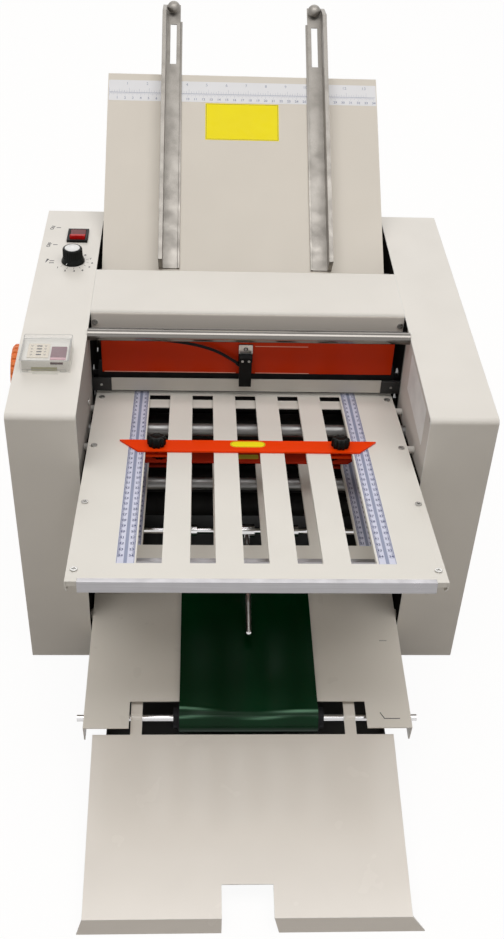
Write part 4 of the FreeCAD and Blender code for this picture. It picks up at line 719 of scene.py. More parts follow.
ruler_vinyl = vinyl("ruler_vinyl", (0.66, 0.67, 0.80))
table_ruler_vinyl = vinyl("table_ruler_vinyl", (0.86, 0.86, 0.88))
ruler_stripe = vinyl("ruler_stripe_ink", (0.27, 0.30, 0.43))
navy_ink = vinyl("navy_ink", (0.035, 0.05, 0.16), drift=0.15)
pale_ink = vinyl("pale_blue_ink", (0.33, 0.35, 0.45), drift=0.1)
black_ink = vinyl("black_ink", (0.03, 0.03, 0.035), drift=0.2)
print("inks:", [m.name for m in (navy_ink, pale_ink, black_ink)])

# %% [markdown]
# ## Trees that grow meshes
# Anything that repeats is made by a Geometry Nodes tree: one small shape, a set of points, and an instance
# of the shape on each. The trees of this machine start and end alike, so two helpers hold those parts.
# `grown` sets a tree's inputs on a modifier and turns the result into a plain mesh. The inputs are set by
# their identifiers, because two may share a name.

# %% Helpers for trees
def start_tree(name, **inputs):
    tree = bpy.data.node_groups.new(name, "GeometryNodeTree")
    tree.interface.new_socket("Geometry", in_out="OUTPUT", socket_type="NodeSocketGeometry")
    for label, kind in inputs.items():
        label = label.replace("_", " ")
        tree.interface.new_socket(label, in_out="INPUT", socket_type="NodeSocket" + kind)
    return tree, tree.nodes.new, tree.links.new, tree.nodes.new("NodeGroupInput").outputs


def end_tree(tree, instances, material):
    real = tree.nodes.new("GeometryNodeRealizeInstances")
    skin = tree.nodes.new("GeometryNodeSetMaterial")
    tree.links.new(instances, real.inputs[0])
    tree.links.new(real.outputs[0], skin.inputs["Geometry"])
    tree.links.new(material, skin.inputs["Material"])
    tree.links.new(skin.outputs[0], tree.nodes.new("NodeGroupOutput").inputs[0])
    return tree


def grown(tree, seed=None, **values):
    holder = bpy.data.objects.new(tree.name, seed or bpy.data.meshes.new("seed"))
    grow = holder.modifiers.new("grow", "NODES")
    grow.node_group = tree
    for item in tree.interface.items_tree:
        label = item.name.replace(" ", "_")
        if item.in_out == "INPUT" and label in values:
            grow[item.identifier] = values[label]
    return plain_mesh(holder)


print("every tree here ends in Realize Instances and Set Material")


# %% A tree that rules ticks
def tick_tree():
    tree, make, link, given = start_tree(
        "ruled_ticks", Count="Int", Pitch="Float", Short="Float", Middle="Float", Long="Float",
        Line_Width="Float", Middle_Every="Int", Long_Every="Int", Ink="Material")
    step = make("ShaderNodeCombineXYZ")
    line = make("GeometryNodeMeshLine")
    link(given["Pitch"], step.inputs["Y"])
    link(given["Count"], line.inputs["Count"])
    link(step.outputs[0], line.inputs["Offset"])
    strip = make("GeometryNodeMeshGrid")
    strip.inputs["Vertices X"].default_value = 2
    strip.inputs["Vertices Y"].default_value = 2
    from_edge = make("GeometryNodeTransform")
    from_edge.inputs["Translation"].default_value = (0.5, 0.0, 0.0)
    link(strip.outputs["Mesh"], from_edge.inputs["Geometry"])
    number = make("GeometryNodeInputIndex")
    lengths = given["Short"]
    for every, length in (("Middle Every", "Middle"), ("Long Every", "Long")):
        rest = make("FunctionNodeIntegerMath")
        rest.operation = "MODULO"
        on_mark = make("FunctionNodeCompare")
        on_mark.data_type = "INT"
        on_mark.operation = "EQUAL"
        choose = make("GeometryNodeSwitch")
        choose.input_type = "FLOAT"
        link(number.outputs[0], rest.inputs[0])
        link(given[every], rest.inputs[1])
        link(rest.outputs[0], on_mark.inputs["A"])
        link(on_mark.outputs[0], choose.inputs["Switch"])
        link(lengths, choose.inputs["False"])
        link(given[length], choose.inputs["True"])
        lengths = choose.outputs[0]
    size = make("ShaderNodeCombineXYZ")
    size.inputs["Z"].default_value = 1.0
    link(lengths, size.inputs["X"])
    link(given["Line Width"], size.inputs["Y"])
    place = make("GeometryNodeInstanceOnPoints")
    link(line.outputs["Mesh"], place.inputs["Points"])
    link(from_edge.outputs[0], place.inputs["Instance"])
    link(size.outputs[0], place.inputs["Scale"])
    return end_tree(tree, place.outputs[0], given["Ink"])


ticks = tick_tree()
EVERY_MM = {"Pitch": MM, "Middle_Every": 5, "Long_Every": 10}
one_centimetre = grown(ticks, Count=11, Short=1.5 * MM, Middle=2.5 * MM, Long=4 * MM, Line_Width=0.2 * MM,
                       Ink=navy_ink, **EVERY_MM)
print("one centimetre of ticks:", len(one_centimetre.polygons), "strips")


# %% Numerals
NUMERAL_MM = 4.6
NUMERAL_BOLD = 0.12


def numeral(text, height_mm, bold_mm=0.0):
    font = bpy.data.curves.new("numeral", "FONT")
    font.body = str(text)
    font.size = height_mm * MM
    font.align_x = "CENTER"
    font.align_y = "CENTER"
    font.resolution_u = 2
    font.offset = bold_mm * MM
    return plain_mesh(bpy.data.objects.new("numeral", font))


small_numbers = {n: numeral(n, NUMERAL_MM, NUMERAL_BOLD) for n in range(1, 36)}
print("numeral 8 has", len(small_numbers[8].polygons), "faces")

# %% Rulers on the two fold plates
UPPER_LENGTH, LOWER_LENGTH = 380.0, 242.6
RULER_SIDES = ((-128.3, -111.5), (112.0, 128.6))
RULER_FRONT = 28.5
STRIPE_W, STRIPE_T = 3.2, 0.04
LABEL_T = 0.12
INK_T = 0.03
INK_LIFT = LABEL_T + INK_T


def plate_rulers(name, plane, plate_length):
    marks = int((plate_length - RULER_FRONT - 2.0) // 10)
    long_mm = plate_length - 1.0 - RULER_FRONT
    middle = RULER_FRONT + long_mm / 2
    zero = plate_length - 1.5
    strips, stripes, prints = [], [], []
    scale = grown(ticks, Count=marks * 10 + 1, Short=2.0 * MM, Middle=2.9 * MM, Long=4.4 * MM,
                  Line_Width=0.42 * MM, Ink=navy_ink, **EVERY_MM)
    for left, right in RULER_SIDES:
        centre = (left + right) / 2
        strip = cut_sheet([rounded(right - left, long_mm, 0.6)], LABEL_T)
        stripe = cut_sheet([rounded(STRIPE_W, long_mm - 0.6, 0.1)], STRIPE_T)
        strips.append((strip, plane @ spot(centre, middle)))
        stripes.append((stripe, plane @ spot(centre, middle, LABEL_T)))
        for side in (left + 0.5, right - 0.5):
            edge = cut_sheet([rounded(0.35, long_mm - 0.8, 0.05)], INK_T)
            prints.append((edge, plane @ spot(side, middle, LABEL_T)))
        prints.append((scale, plane @ spot(left + 0.5, zero - marks * 10, INK_LIFT)))
        prints.append((scale, plane @ spot(right - 0.5, zero, INK_LIFT, 180.0)))
        for n in range(1, marks + 1):
            for side in (left + 3.5, right - 3.5):
                prints.append((small_numbers[n], plane @ spot(side, zero - 10 * n + 2.3, INK_LIFT)))
    laid(name + "_strips", strips, ruler_vinyl)
    laid(name + "_stripes", stripes, ruler_stripe)
    print_piece = laid(name + "_print", prints, navy_ink)
    print(name, "marks to", marks, "cm;", len(print_piece.data.polygons), "faces of print")


plate_rulers("upper_plate_ruler", UPPER, UPPER_LENGTH)
plate_rulers("lower_plate_ruler", LOWER, LOWER_LENGTH)

# %% [markdown]
# ## The feed table's ruler
# Across the top of the feed table runs a wider ruler with inches above and centimetres below, counted from
# the left. It is laid on as a real sheet a tenth of a millimetre thick, so that its edges catch light as
# vinyl does. The same tree rules both scales: only the pitch and the lengths of its ticks change.

# %% Feed table ruler
TABLE_HALF = 172.0
TABLE_ZERO = -TABLE_HALF + 1.0
INCH = 25.4
CM_MARKS = 34
INCH_MARKS = 13
table_strip = cut_sheet([rounded(TABLE_HALF * 2, 30.0, 0.8)], LABEL_T)
middle_line = cut_sheet([rounded(TABLE_HALF * 2 - 2.0, 0.5, 0.1)], INK_T)
cm_scale = grown(ticks, Count=CM_MARKS * 10 + 1, Short=2.2 * MM, Middle=3.6 * MM, Long=5.2 * MM,
                 Line_Width=0.2 * MM, Ink=pale_ink, **EVERY_MM)
inch_scale = grown(ticks, Count=INCH_MARKS * 8 + 1, Pitch=INCH / 8 * MM, Short=3.0 * MM, Middle=4.4 * MM,
                   Long=6.0 * MM, Line_Width=0.25 * MM, Middle_Every=4, Long_Every=8, Ink=pale_ink)
# A turn of -90 degrees lays the row of points along x, and the strips then hang down from the line.
table_print = [
    (cm_scale, TABLE @ spot(TABLE_ZERO, -27.9, INK_LIFT, -90.0)),
    (inch_scale, TABLE @ spot(TABLE_ZERO + INCH_MARKS * INCH, -27.3, INK_LIFT, 90.0)),
    (middle_line, TABLE @ spot(0.0, -27.6, LABEL_T)),
]
for n in range(1, CM_MARKS + 1):
    table_print.append((small_numbers[n], TABLE @ spot(TABLE_ZERO + 10.0 * n, -35.8, INK_LIFT)))
for n in range(1, INCH_MARKS + 1):
    table_print.append((numeral(n, 5.6), TABLE @ spot(-TABLE_HALF - 1.6 + INCH * n, -14.6, INK_LIFT)))
laid("table_ruler_strip", [(table_strip, TABLE @ spot(0.0, -24.6))], table_ruler_vinyl)
laid("table_ruler_print", table_print, pale_ink)
print("feed table ruler:", CM_MARKS, "cm and", INCH_MARKS, "inches")

# %% [markdown]
# ## Plain labels
# A yellow label sits on the feed table, a small yellow one on each stop bar and a pale plate on the right
# inner wall. Each is a sheet of vinyl cut to its outline, and the yellow ones have a thin dark border,
# which is an outline with a hole. A label on a moving part rides on that part.

# %% Labels
label_yellow = vinyl("yellow_label_vinyl", (1.0, 0.83, 0.0), 0.5)
# The label yellow darkened for the lower stop bar: painted shade under the upper plate
shaded_label_yellow = vinyl("dull_yellow_label", (0.55, 0.45, 0.05), 0.45)
plate_label = vinyl("pale_rating_plate", (0.80, 0.81, 0.80), 0.5, drift=0.08)
YELLOW_W, YELLOW_H = 93.9, 53.3
yellow_sheet = cut_sheet([rounded(YELLOW_W, YELLOW_H, 1.0)], LABEL_T)
border_lines = [rounded(YELLOW_W - inset, YELLOW_H - inset, corner) for inset, corner in ((2.0, 0.6), (2.8, 0.4))]
border = cut_sheet(border_lines, INK_T)
LABEL_PLACE = TABLE @ spot(-1.35, -67.65)
laid("yellow_label", [(yellow_sheet, LABEL_PLACE)], label_yellow)
laid("yellow_label_border", [(border, LABEL_PLACE @ spot(0, 0, LABEL_T))], black_ink)
print("the label covers", round(YELLOW_W * YELLOW_H / 100), "square centimetres")

# %% Labels on the stop bars and the wall
UPPER_STOP_AT, LOWER_STOP_AT = 245.5, 208.0
STOP_TOP = 2.3
on_upper_bar = {"body": "upper_stop_bar", "slot": "orange_paint"}
pill = cut_sheet([rounded(38.0, 12.6, 6.2)], LABEL_T)
pill_rim = cut_sheet([rounded(36.8, 11.4, 5.6), rounded(36.0, 10.6, 5.2)], INK_T)
PILL_PLACE = UPPER @ spot(-1.0, 248.9, STOP_TOP)
laid("stop_bar_label", [(pill, PILL_PLACE)], label_yellow, **on_upper_bar)
laid("stop_bar_label_rim", [(pill_rim, PILL_PLACE @ spot(0, 0, LABEL_T))], black_ink, **on_upper_bar)
low_pill = cut_sheet([rounded(24.5, 10.0, 2.0)], LABEL_T)
laid("lower_bar_label", [(low_pill, LOWER @ spot(3.2, LOWER_STOP_AT, STOP_TOP))], shaded_label_yellow,
     "lower_stop_bar", "lower_stop_paint")
side_sheet = cut_sheet([rounded(105.0, 46.0, 2.0)], 0.2)
UPRIGHT = STAND @ Matrix.Rotation(math.radians(-90.0), 4, "Y")
laid("inner_wall_plate", [(side_sheet, spot(188.98, -66.5, 327.0) @ UPRIGHT)], plate_label)

# %% [markdown]
# ## Turned and fluted parts
# Knobs, domes and screw heads are made on a lathe or moulded round, so one helper draws them all: a
# profile of radius and height is carried round the axis, and may swell into lobes or flutes on the way.
# A star knob is then the same thing as a shaft, with ten lobes. Poles are closed with a single point.

# %% Lathe
def turned(profile, steps=48, lobes=0):
    points, faces, rings = [], [], []
    for radius, height, *depth in profile:
        cut = depth[0] if depth else 0.0
        if radius == 0.0:
            rings.append([len(points)] * steps)
            points.append((0.0, 0.0, height * MM))
            continue
        rings.append(list(range(len(points), len(points) + steps)))
        for i in range(steps):
            angle = math.tau * i / steps
            here = radius - cut * (0.5 - 0.5 * math.cos(lobes * angle))
            points.append((here * MM * math.cos(angle), here * MM * math.sin(angle), height * MM))
    for low, high in zip(rings, rings[1:]):
        for i in range(steps):
            j = (i + 1) % steps
            corners = []
            for index in (low[i], low[j], high[j], high[i]):
                if index not in corners:
                    corners.append(index)
            if len(corners) > 2:
                faces.append(corners)
    mesh = bpy.data.meshes.new("turned")
    mesh.from_pydata(points, [], faces)
    return mesh


print("a plain disc turned:", len(turned([(0.0, 0.0), (5.0, 0.0), (0.0, 1.0)], 12).polygons), "faces")

# %% Star knobs on the stop bars
KNOB_FROM_MIDDLE = 98.4
KNOB_LOBES = 10
KNOB_H = 11.0
SMOOTH_DEG = 38.0


def star_knob(node, plane, x, s):
    low, high = height_range(node, plane)
    under = high - KNOB_H
    # radius, height and how deep the flutes cut in
    profile = [
        (0.0, low), (2.5, low), (2.5, under), (8.2, under, 1.2), (9.7, under + 0.9, 1.8),
        (10.0, under + 2.2, 2.0), (10.0, high - 3.4, 2.0), (9.6, high - 1.7, 1.8), (8.6, high - 0.6, 1.3),
        (6.6, high - 0.1, 0.5), (5.2, high), (4.7, high - 0.5), (2.2, high - 0.7), (0.0, high - 0.7),
    ]
    star = turned(profile, KNOB_LOBES * 10, KNOB_LOBES)
    laid(node + "_star", [(star, plane @ spot(x, s))], knob_plastic, node, "knob_plastic", (node,), SMOOTH_DEG)
    print(node, "stands", round(high, 1), "mm above its plate")


for level, plane, stop_at in (("upper", UPPER, UPPER_STOP_AT), ("lower", LOWER, LOWER_STOP_AT)):
    for side, x in (("left", -KNOB_FROM_MIDDLE), ("right", KNOB_FROM_MIDDLE)):
        star_knob(f"{level}_{side}_knob", plane, x, stop_at)

# %% [markdown]
# ## Screws
# Flat-headed screws hold the plates down each side and pin the cover and the sensor. A cross recess is
# what makes them read as screws, so the head is cut from an outline with a cross-shaped hole, over a
# thin floor. Geometry Nodes then seat one head on every point of a list and turn each by a random angle,
# because no two screws stop at the same turn.

# %% Screw heads
def cross(arm, half):
    return [(arm, -half), (arm, half), (half, half), (half, arm), (-half, arm), (-half, half), (-arm, half),
            (-arm, -half), (-half, -half), (-half, -arm), (half, -arm), (half, -half)]


def screw_head(radius, height, name):
    rim = cut_sheet([disc(radius), cross(radius * 0.56, radius * 0.15)], height * 0.7, height * 0.2)
    floor_disc = cut_sheet([disc(radius * 0.9)], height * 0.25)
    parts = [(rim, spot(0, 0, height * 0.3)), (floor_disc, spot(0, 0, 0.05))]
    return bpy.data.objects.new(name, gathered(name, parts, screw_steel))


plate_head = screw_head(3.5, 1.35, "plate_head")
small_head = screw_head(1.5, 0.8, "small_head")
print("a screw head has", len(plate_head.data.polygons), "faces")


# %% A tree that seats the heads
HEAD_SEED = 7


def seat_tree():
    tree, make, link, given = start_tree("seated_heads", Geometry="Geometry", Head="Object", Metal="Material")
    head = make("GeometryNodeObjectInfo")
    chance = make("FunctionNodeRandomValue")
    chance.data_type = "FLOAT"
    chance.inputs["Max"].default_value = math.tau
    chance.inputs["Seed"].default_value = HEAD_SEED
    turn_by = make("ShaderNodeCombineXYZ")
    seat = make("GeometryNodeInstanceOnPoints")
    random_turn = [o for o in chance.outputs if o.enabled][0]
    link(given["Head"], head.inputs["Object"])
    link(random_turn, turn_by.inputs["Z"])
    link(given["Geometry"], seat.inputs["Points"])
    link(head.outputs["Geometry"], seat.inputs["Instance"])
    link(turn_by.outputs[0], seat.inputs["Rotation"])
    return end_tree(tree, seat.outputs[0], given["Metal"])


seats = seat_tree()


def seated(head, points_mm, plane):
    base = bpy.data.meshes.new("seats")
    base.from_pydata([(x * MM, y * MM, z * MM) for x, y, z in points_mm], [], [])
    mesh = grown(seats, base, Head=head, Metal=screw_steel)
    mesh.transform(plane)
    return mesh, LEVEL


# %% Screws of the plates and the cover
HEAD_FROM_MIDDLE = 165.0
HEAD_FROM_END = 18.0
COVER_HEAD_X = (HOUSING_MIDDLE - 174.0, HOUSING_MIDDLE + 174.0)
HERE = [(0.0, 0.0, 0.0)]
plate_screw_rows = []
for plane, length in ((UPPER, UPPER_LENGTH), (LOWER, LOWER_LENGTH)):
    steps = [HEAD_FROM_END + i * (length - HEAD_FROM_END * 2) / 3 for i in range(4)]
    places = [(side * HEAD_FROM_MIDDLE, s, 0.02) for side in (-1, 1) for s in steps]
    plate_screw_rows.append(seated(plate_head, places, plane))
for x in COVER_HEAD_X:
    plate_screw_rows.append(seated(plate_head, HERE, spot(x, 51.6, 344.5) @ STAND))
screws = laid("plate_screw_heads", plate_screw_rows, screw_steel, slot="screw_steel", replaces=("plate_screws",),
              sharp_deg=30.0)
print("screw heads:", len(screws.data.polygons), "faces")

# %% [markdown]
# ## The control panel
# On the left housing sit a rocker switch, a fluted speed knob on a printed dial and a clear-lidded sheet
# counter. The print is plain: ON and OFF by the switch, a slow-to-fast wedge by the dial, and the dial's
# numbers. Its marks lie a fiftieth of a millimetre or so above the paint, which keeps them from flickering.

# %% Printed marks on the housing
PANEL_Z = 356.5
KNOB_PLACE = (-197.0, 166.67)
TICK_FROM_KNOB = 17.6
DIAL = ((-214.2, 151.4), (-204.8, 144.3), (-194.1, 143.7), (-184.4, 145.7), (-176.7, 153.6), (-174.1, 163.3),
        (-176.9, 173.6), (-183.7, 182.2))
switch_bar = cut_sheet([rounded(5.4, 1.5, 0.1)], INK_T)
speed_bar = cut_sheet([rounded(5.6, 1.7, 0.2)], INK_T)
dial_tick = cut_sheet([rounded(3.0, 0.5, 0.1)], INK_T)
wedge = cut_sheet([[(-4.5, -0.4), (4.5, -1.5), (4.5, 1.5), (-4.5, 0.4)]], INK_T)
panel_print = []
for text, y in (("ON", 250.7), ("OFF", 206.7)):
    panel_print.append((numeral(text, 6.5, 0.2), spot(-229.5, y, PANEL_Z + INK_T, 76.0)))
    panel_print.append((switch_bar, spot(-222.2, y + 0.6, PANEL_Z)))
panel_print.append((wedge, spot(-228.5, 167.5, PANEL_Z, 74.0)))
for y in (162.5, 167.5):
    panel_print.append((speed_bar, spot(-222.5, y, PANEL_Z)))
for n, (x, y) in enumerate(DIAL, start=1):
    panel_print.append((numeral(n, 4.9, 0.16), spot(x, y, PANEL_Z + INK_T)))
    away = Vector((x - KNOB_PLACE[0], y - KNOB_PLACE[1]))
    turn_deg = math.degrees(math.atan2(away.y, away.x))
    reach = away.normalized() * TICK_FROM_KNOB
    panel_print.append((dial_tick, spot(KNOB_PLACE[0] + reach.x, KNOB_PLACE[1] + reach.y, PANEL_Z, turn_deg)))
laid("panel_print", panel_print, black_ink, slot="housing_paint")
print("panel print:", len(panel_print), "marks")

# %% [markdown]
# ## The speed knob
# The knob is moulded with a flared skirt, thirty fine flutes for the fingers and a white cap. It is turned
# on the same lathe as the star knobs. Its pointer is a short white line on the skirt's slope, so it is
# leant back by the slope's angle before it is laid on.

# %% Speed knob and its cap
FLUTES = 30
POINTER_TURN_DEG = -118.0
knob_low, knob_high = height_range("speed_knob", LEVEL)
skirt = PANEL_Z + 0.4
knob_profile = [
    (0.0, knob_low), (3.0, knob_low), (3.0, skirt), (13.6, skirt), (14.0, skirt + 0.6), (13.9, skirt + 1.5),
    (12.8, skirt + 4.0), (12.1, skirt + 5.6, 0.2), (11.9, skirt + 6.4, 0.7), (11.7, knob_high - 2.2, 0.7),
    (11.4, knob_high - 1.2, 0.4), (10.4, knob_high - 0.6), (9.2, knob_high - 0.6), (0.0, knob_high - 0.6),
]
cap_profile = [(0.0, knob_high - 0.7), (8.8, knob_high - 0.7), (8.8, knob_high - 0.3), (8.4, knob_high - 0.05),
               (0.0, knob_high - 0.05)]
cap_white = vinyl("knob_cap_white", (0.84, 0.84, 0.83), 0.25)
fluted = turned(knob_profile, FLUTES * 6, FLUTES)
laid("speed_knob_fluted", [(fluted, spot(*KNOB_PLACE))], knob_plastic, "speed_knob", "knob_plastic",
     ("speed_knob",), SMOOTH_DEG)
laid("speed_knob_cap", [(turned(cap_profile, 48), spot(*KNOB_PLACE))], cap_white, "speed_knob", "wheel_white",
     sharp_deg=SMOOTH_DEG)
pointer = cut_sheet([rounded(3.4, 0.9, 0.2)], 0.05)
lean = Matrix.Rotation(math.radians(25.0), 4, "Y")
pointer_place = spot(*KNOB_PLACE, skirt + 2.9) @ spot(0, 0, 0, POINTER_TURN_DEG) @ spot(12.0, 0.0)
laid("speed_knob_pointer", [(pointer, pointer_place @ spot(1.2, 0.0, 0.1) @ lean)], cap_white, "speed_knob",
     "wheel_white")
print("speed knob", round(knob_high - PANEL_Z, 1), "mm tall")

# %% [markdown]
# ## The sheet counter
# The counter is a small moulded case with a cream keypad, a dark red window and a clear hinged lid. The
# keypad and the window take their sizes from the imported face, so they can't miss it. The lid's clear
# plastic is hard to see, as it is in life: thin grey lines mark its edges, and they ride with it.

# %% Clear lid
clear_lid = finish("clear_lid", (0.88, 0.89, 0.89), 0.16, specular=0.2)
shader_of(clear_lid)["Alpha"].default_value = 0.1
sheen_range(clear_lid, blotches(clear_lid, 12.0), 0.08, 0.2)
raised(clear_lid, blotches(clear_lid, 25.0), 0.05, 0.5)
repaint(nodes["counter_cover"].data, clear_lid)
print("the lid lets", round(1.0 - shader_of(clear_lid)["Alpha"].default_value, 2), "of the view through")

# %% Keypad and window
KEYPAD_ENDS_AT = -201.5
FACE_DROP = 0.2
face_points = [v.co / MM for v in nodes["counter_face"].data.vertices]


def face_box(left_part):
    chosen = [p for p in face_points if (p.x < KEYPAD_ENDS_AT) == left_part]
    low, high = [[edge(p[i] for p in chosen) for i in range(3)] for edge in (min, max)]
    place = spot((low[0] + high[0]) / 2, (low[1] + high[1]) / 2, low[2])
    return place, high[0] - low[0], high[1] - low[1], high[2] - low[2] - FACE_DROP


face_cream = vinyl("keypad_cream", (0.78, 0.71, 0.60), 0.4)
window_red = vinyl("counter_window", (0.17, 0.05, 0.075), 0.35)
window_pink = vinyl("window_reflection_strip", (0.60, 0.33, 0.38), 0.25)
on_face = {"slot": "face_plastic"}
keypad_place, pad_w, pad_d, key_top = face_box(True)
window_place, window_w, window_d, window_t = face_box(False)
keypad = cut_sheet([rounded(pad_w, pad_d, 1.2)], key_top, 0.3)
pane = cut_sheet([rounded(window_w, window_d * 0.80, 0.8, 0.0, window_d * 0.10)], window_t, 0.2)
strip = cut_sheet([rounded(window_w, window_d * 0.17, 0.5, 0.0, -window_d * 0.41)], window_t, 0.2)
laid("counter_keypad", [(keypad, keypad_place)], face_cream, replaces=("counter_face",), **on_face)
laid("counter_window", [(pane, window_place)], window_red, **on_face)
laid("counter_window_strip", [(strip, window_place)], window_pink, **on_face)
print("keypad", round(pad_w, 1), "x", round(pad_d, 1), "mm, window", round(window_w, 1), "mm wide")

# %% Keys
KEY_ROWS, KEY_PITCH = 4, 5.4
key_dark = vinyl("key_print", (0.05, 0.045, 0.05), 0.4)
keys = []
for row in range(KEY_ROWS):
    ky = (row - (KEY_ROWS - 1) / 2) * KEY_PITCH
    marks = [(0.6, ky, 5.6, 2.0, 0.9, 0.25)]
    for column in (-7.2, 7.0):
        marks += [(column, ky + 0.7, 2.6, 0.5, 0.2, 0.05), (column, ky - 0.7, 2.0, 0.5, 0.2, 0.05)]
    for x, y, width, depth, corner, thick in marks:
        keys.append((cut_sheet([rounded(width, depth, corner)], thick), keypad_place @ spot(x, y, key_top)))
laid("counter_keys", keys, key_dark, **on_face)
print("key marks:", len(keys))

# %% Bars on the case
front_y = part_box("counter_case")[0].y / MM
maroon = vinyl("maroon_bar", (0.07, 0.012, 0.02), 0.3)
olive_strip = vinyl("olive_strip", (0.42, 0.40, 0.24), 0.45)
dark_bar = cut_sheet([rounded(13.2, 2.6, 0.4)], 0.25)
olive = cut_sheet([rounded(27.0, 4.6, 0.5)], 0.2)
on_case = {"slot": "case_plastic"}
laid("counter_bar", [(dark_bar, spot(-193.6, front_y - 0.02, 366.6) @ STAND)], maroon, **on_case)
laid("counter_strip", [(olive, spot(-207.0, front_y - 0.02, 359.4) @ STAND)], olive_strip, **on_case)
print("the case's front is at y", round(front_y, 1), "mm")

# %% Lines of the lid
LID_TOP = 373.05
LID_MIDDLE = -205.7
LINE_T = 0.05
lid_line = vinyl("lid_edge_grey", (0.34, 0.335, 0.33), 0.4)
LID_FRONT = spot(0.0, -71.4) @ STAND
rim_shape = [rounded(51.0, 50.6, 2.0), rounded(49.8, 49.4, 1.6)]
lid_lines = [(cut_sheet(rim_shape, LINE_T), spot(LID_MIDDLE, -45.4, LID_TOP))]
lid_lines.append((cut_sheet([rounded(50.0, 0.8, 0.2)], LINE_T), spot(LID_MIDDLE, -29.0, LID_TOP)))
for x in (-229.9, -181.5):
    lid_lines.append((cut_sheet([rounded(0.6, 40.0, 0.2)], LINE_T), spot(x, -50.0, LID_TOP)))
for x in (-226.0, -186.5):
    catch_shape = [rounded(6.4, 3.0, 0.5), rounded(5.4, 2.0, 0.3)]
    lid_lines.append((cut_sheet(catch_shape, LINE_T), LID_FRONT @ spot(x, 361.4)))
lid_lines.append((cut_sheet([rounded(33.0, 0.6, 0.1)], LINE_T), LID_FRONT @ spot(-206.5, 362.4)))
laid("counter_lid_lines", lid_lines, lid_line, "counter_cover", "clear_plastic")
print("lid lines:", len(lid_lines))

# %% [markdown]
# ## The paper sensor and the small screws
# A small plated angle carries the black sensor in front of the red guard. It shows a dark hole with a screw
# in it, and two more screws sit just below, in the sensor's face. The places are taken from the packed
# sensor, so that the sheet and the heads lie on it.

# %% Sensor angle and small screws
SENSOR_X = 7.4
ANGLE_ABOVE = 330.0
SENSOR_HEAD_APART = 3.7
plated = drawn_metal("zinc_plated_sheet", (0.66, 0.65, 0.62), 0.28, EVEN, 3.0, 0.006)
sensor_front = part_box("paper_sensor")[0].y / MM
sensor_points = [v.co / MM for v in nodes["paper_sensor"].data.vertices]
angle_face = min(p.y for p in sensor_points if p.z > ANGLE_ABOVE)
angle_sheet = cut_sheet([rounded(15.6, 12.0, 1.0), disc(2.6, 20, 0.0, 0.4)], 0.5, 0.1)
angle_place = spot(SENSOR_X, angle_face, 328.0) @ STAND
laid("sensor_angle", [(angle_sheet, angle_place)], plated, slot="bare_steel")
sensor_seats = [(-SENSOR_HEAD_APART, 0.0, 0.0), (SENSOR_HEAD_APART, 0.0, 0.0)]
small_screws = [
    seated(small_head, [(0.0, 0.4, 0.15)], angle_place),
    seated(small_head, sensor_seats, spot(SENSOR_X, sensor_front, 318.0) @ STAND),
    seated(plate_head, HERE, spot(-167.95, -26.0, 289.0) @ LIE_ALONG_X),
]
for x in (-157.0, 178.0):
    small_screws.append(seated(small_head, HERE, spot(x, 24.85, 277.0) @ STAND))
laid("small_screws", small_screws, screw_steel, slot="screw_steel", sharp_deg=30.0)
print("sensor front", round(sensor_front, 2), "mm, angle face", round(angle_face, 2), "mm")

# %% [markdown]
# ## The rest strip
# Behind the upper fold plate a pale strip runs from wall to wall, with a dark bolted bracket at each end.
# Brackets and strip are one sheet here, so the ends are painted by place: whatever lies farther from the
# strip's middle than a given length turns dark.

# %% Rest strip with dark ends
STRIP_PALE_HALF = 156.0
BRACKET_BLACK = (0.03, 0.03, 0.03)


def painted_ends(made, ends, centre_x, half_mm):
    tree = made.node_tree
    place = tree.nodes.new("ShaderNodeTexCoord")
    split = tree.nodes.new("ShaderNodeSeparateXYZ")
    tree.links.new(place.outputs["Object"], split.inputs[0])
    off = worked_out(tree, "SUBTRACT", split.outputs["X"], centre_x * MM)
    beyond = worked_out(tree, "GREATER_THAN", worked_out(tree, "ABSOLUTE", off), half_mm * MM)
    return painted_over(made, ends, beyond)


strip_paint = powder_paint("rest_strip_paint", shade(PLATE_TONE, 0.76), 0.36)
painted_ends(strip_paint, BRACKET_BLACK, HOUSING_MIDDLE, STRIP_PALE_HALF)
repaint(bpy.data.objects["rest_strip_soft"].data, strip_paint)
print("the strip is pale for", STRIP_PALE_HALF * 2, "mm")

# %% [markdown]
# ## The green belt
# The delivery belt is a wide loop round two rollers. It is not quite flat: near the front roller it has
# low ripples that catch the light. The loop is worked out as a rule, two runs and two half turns, and
# sampled finely. Then the skin is lifted outwards into two crossing ripples, and how much it is lifted
# is kept at each point as a number that the belt's finish turns into a painted highlight.

# %% Belt loop
FRONT_AXLE = Vector((-274.57, 49.52))
REAR_AXLE = Vector((-59.11, 61.71))
BELT_INSIDE, BELT_OUTSIDE = 14.3, 15.5
BELT_LEFT, BELT_RIGHT = -63.4, 85.6
BELT_STEP = 1.5
OUT_OF_REACH = 1e3


def loop_points(radius):
    """Points round the belt: where, which way is out, and how far along the upper run."""
    run = REAR_AXLE - FRONT_AXLE
    along = run.normalized()
    up = Vector((-along.y, along.x))
    straight = int(run.length / BELT_STEP)
    bend = int(math.pi * BELT_OUTSIDE / BELT_STEP)
    path = []
    for i in range(straight):
        share = i / straight
        path.append((FRONT_AXLE + up * radius + run * share, up, i * run.length / straight))
    for i in range(bend):
        out = math.cos(math.pi * i / bend) * up + math.sin(math.pi * i / bend) * along
        path.append((REAR_AXLE + out * radius, out, OUT_OF_REACH))
    for i in range(straight):
        share = i / straight
        path.append((REAR_AXLE - up * radius - run * share, -up, OUT_OF_REACH))
    for i in range(bend):
        out = -math.cos(math.pi * i / bend) * up - math.sin(math.pi * i / bend) * along
        path.append((FRONT_AXLE + out * radius, out, -math.pi * radius * (1 - i / bend)))
    return path


print("points round the belt:", len(loop_points(BELT_OUTSIDE)))

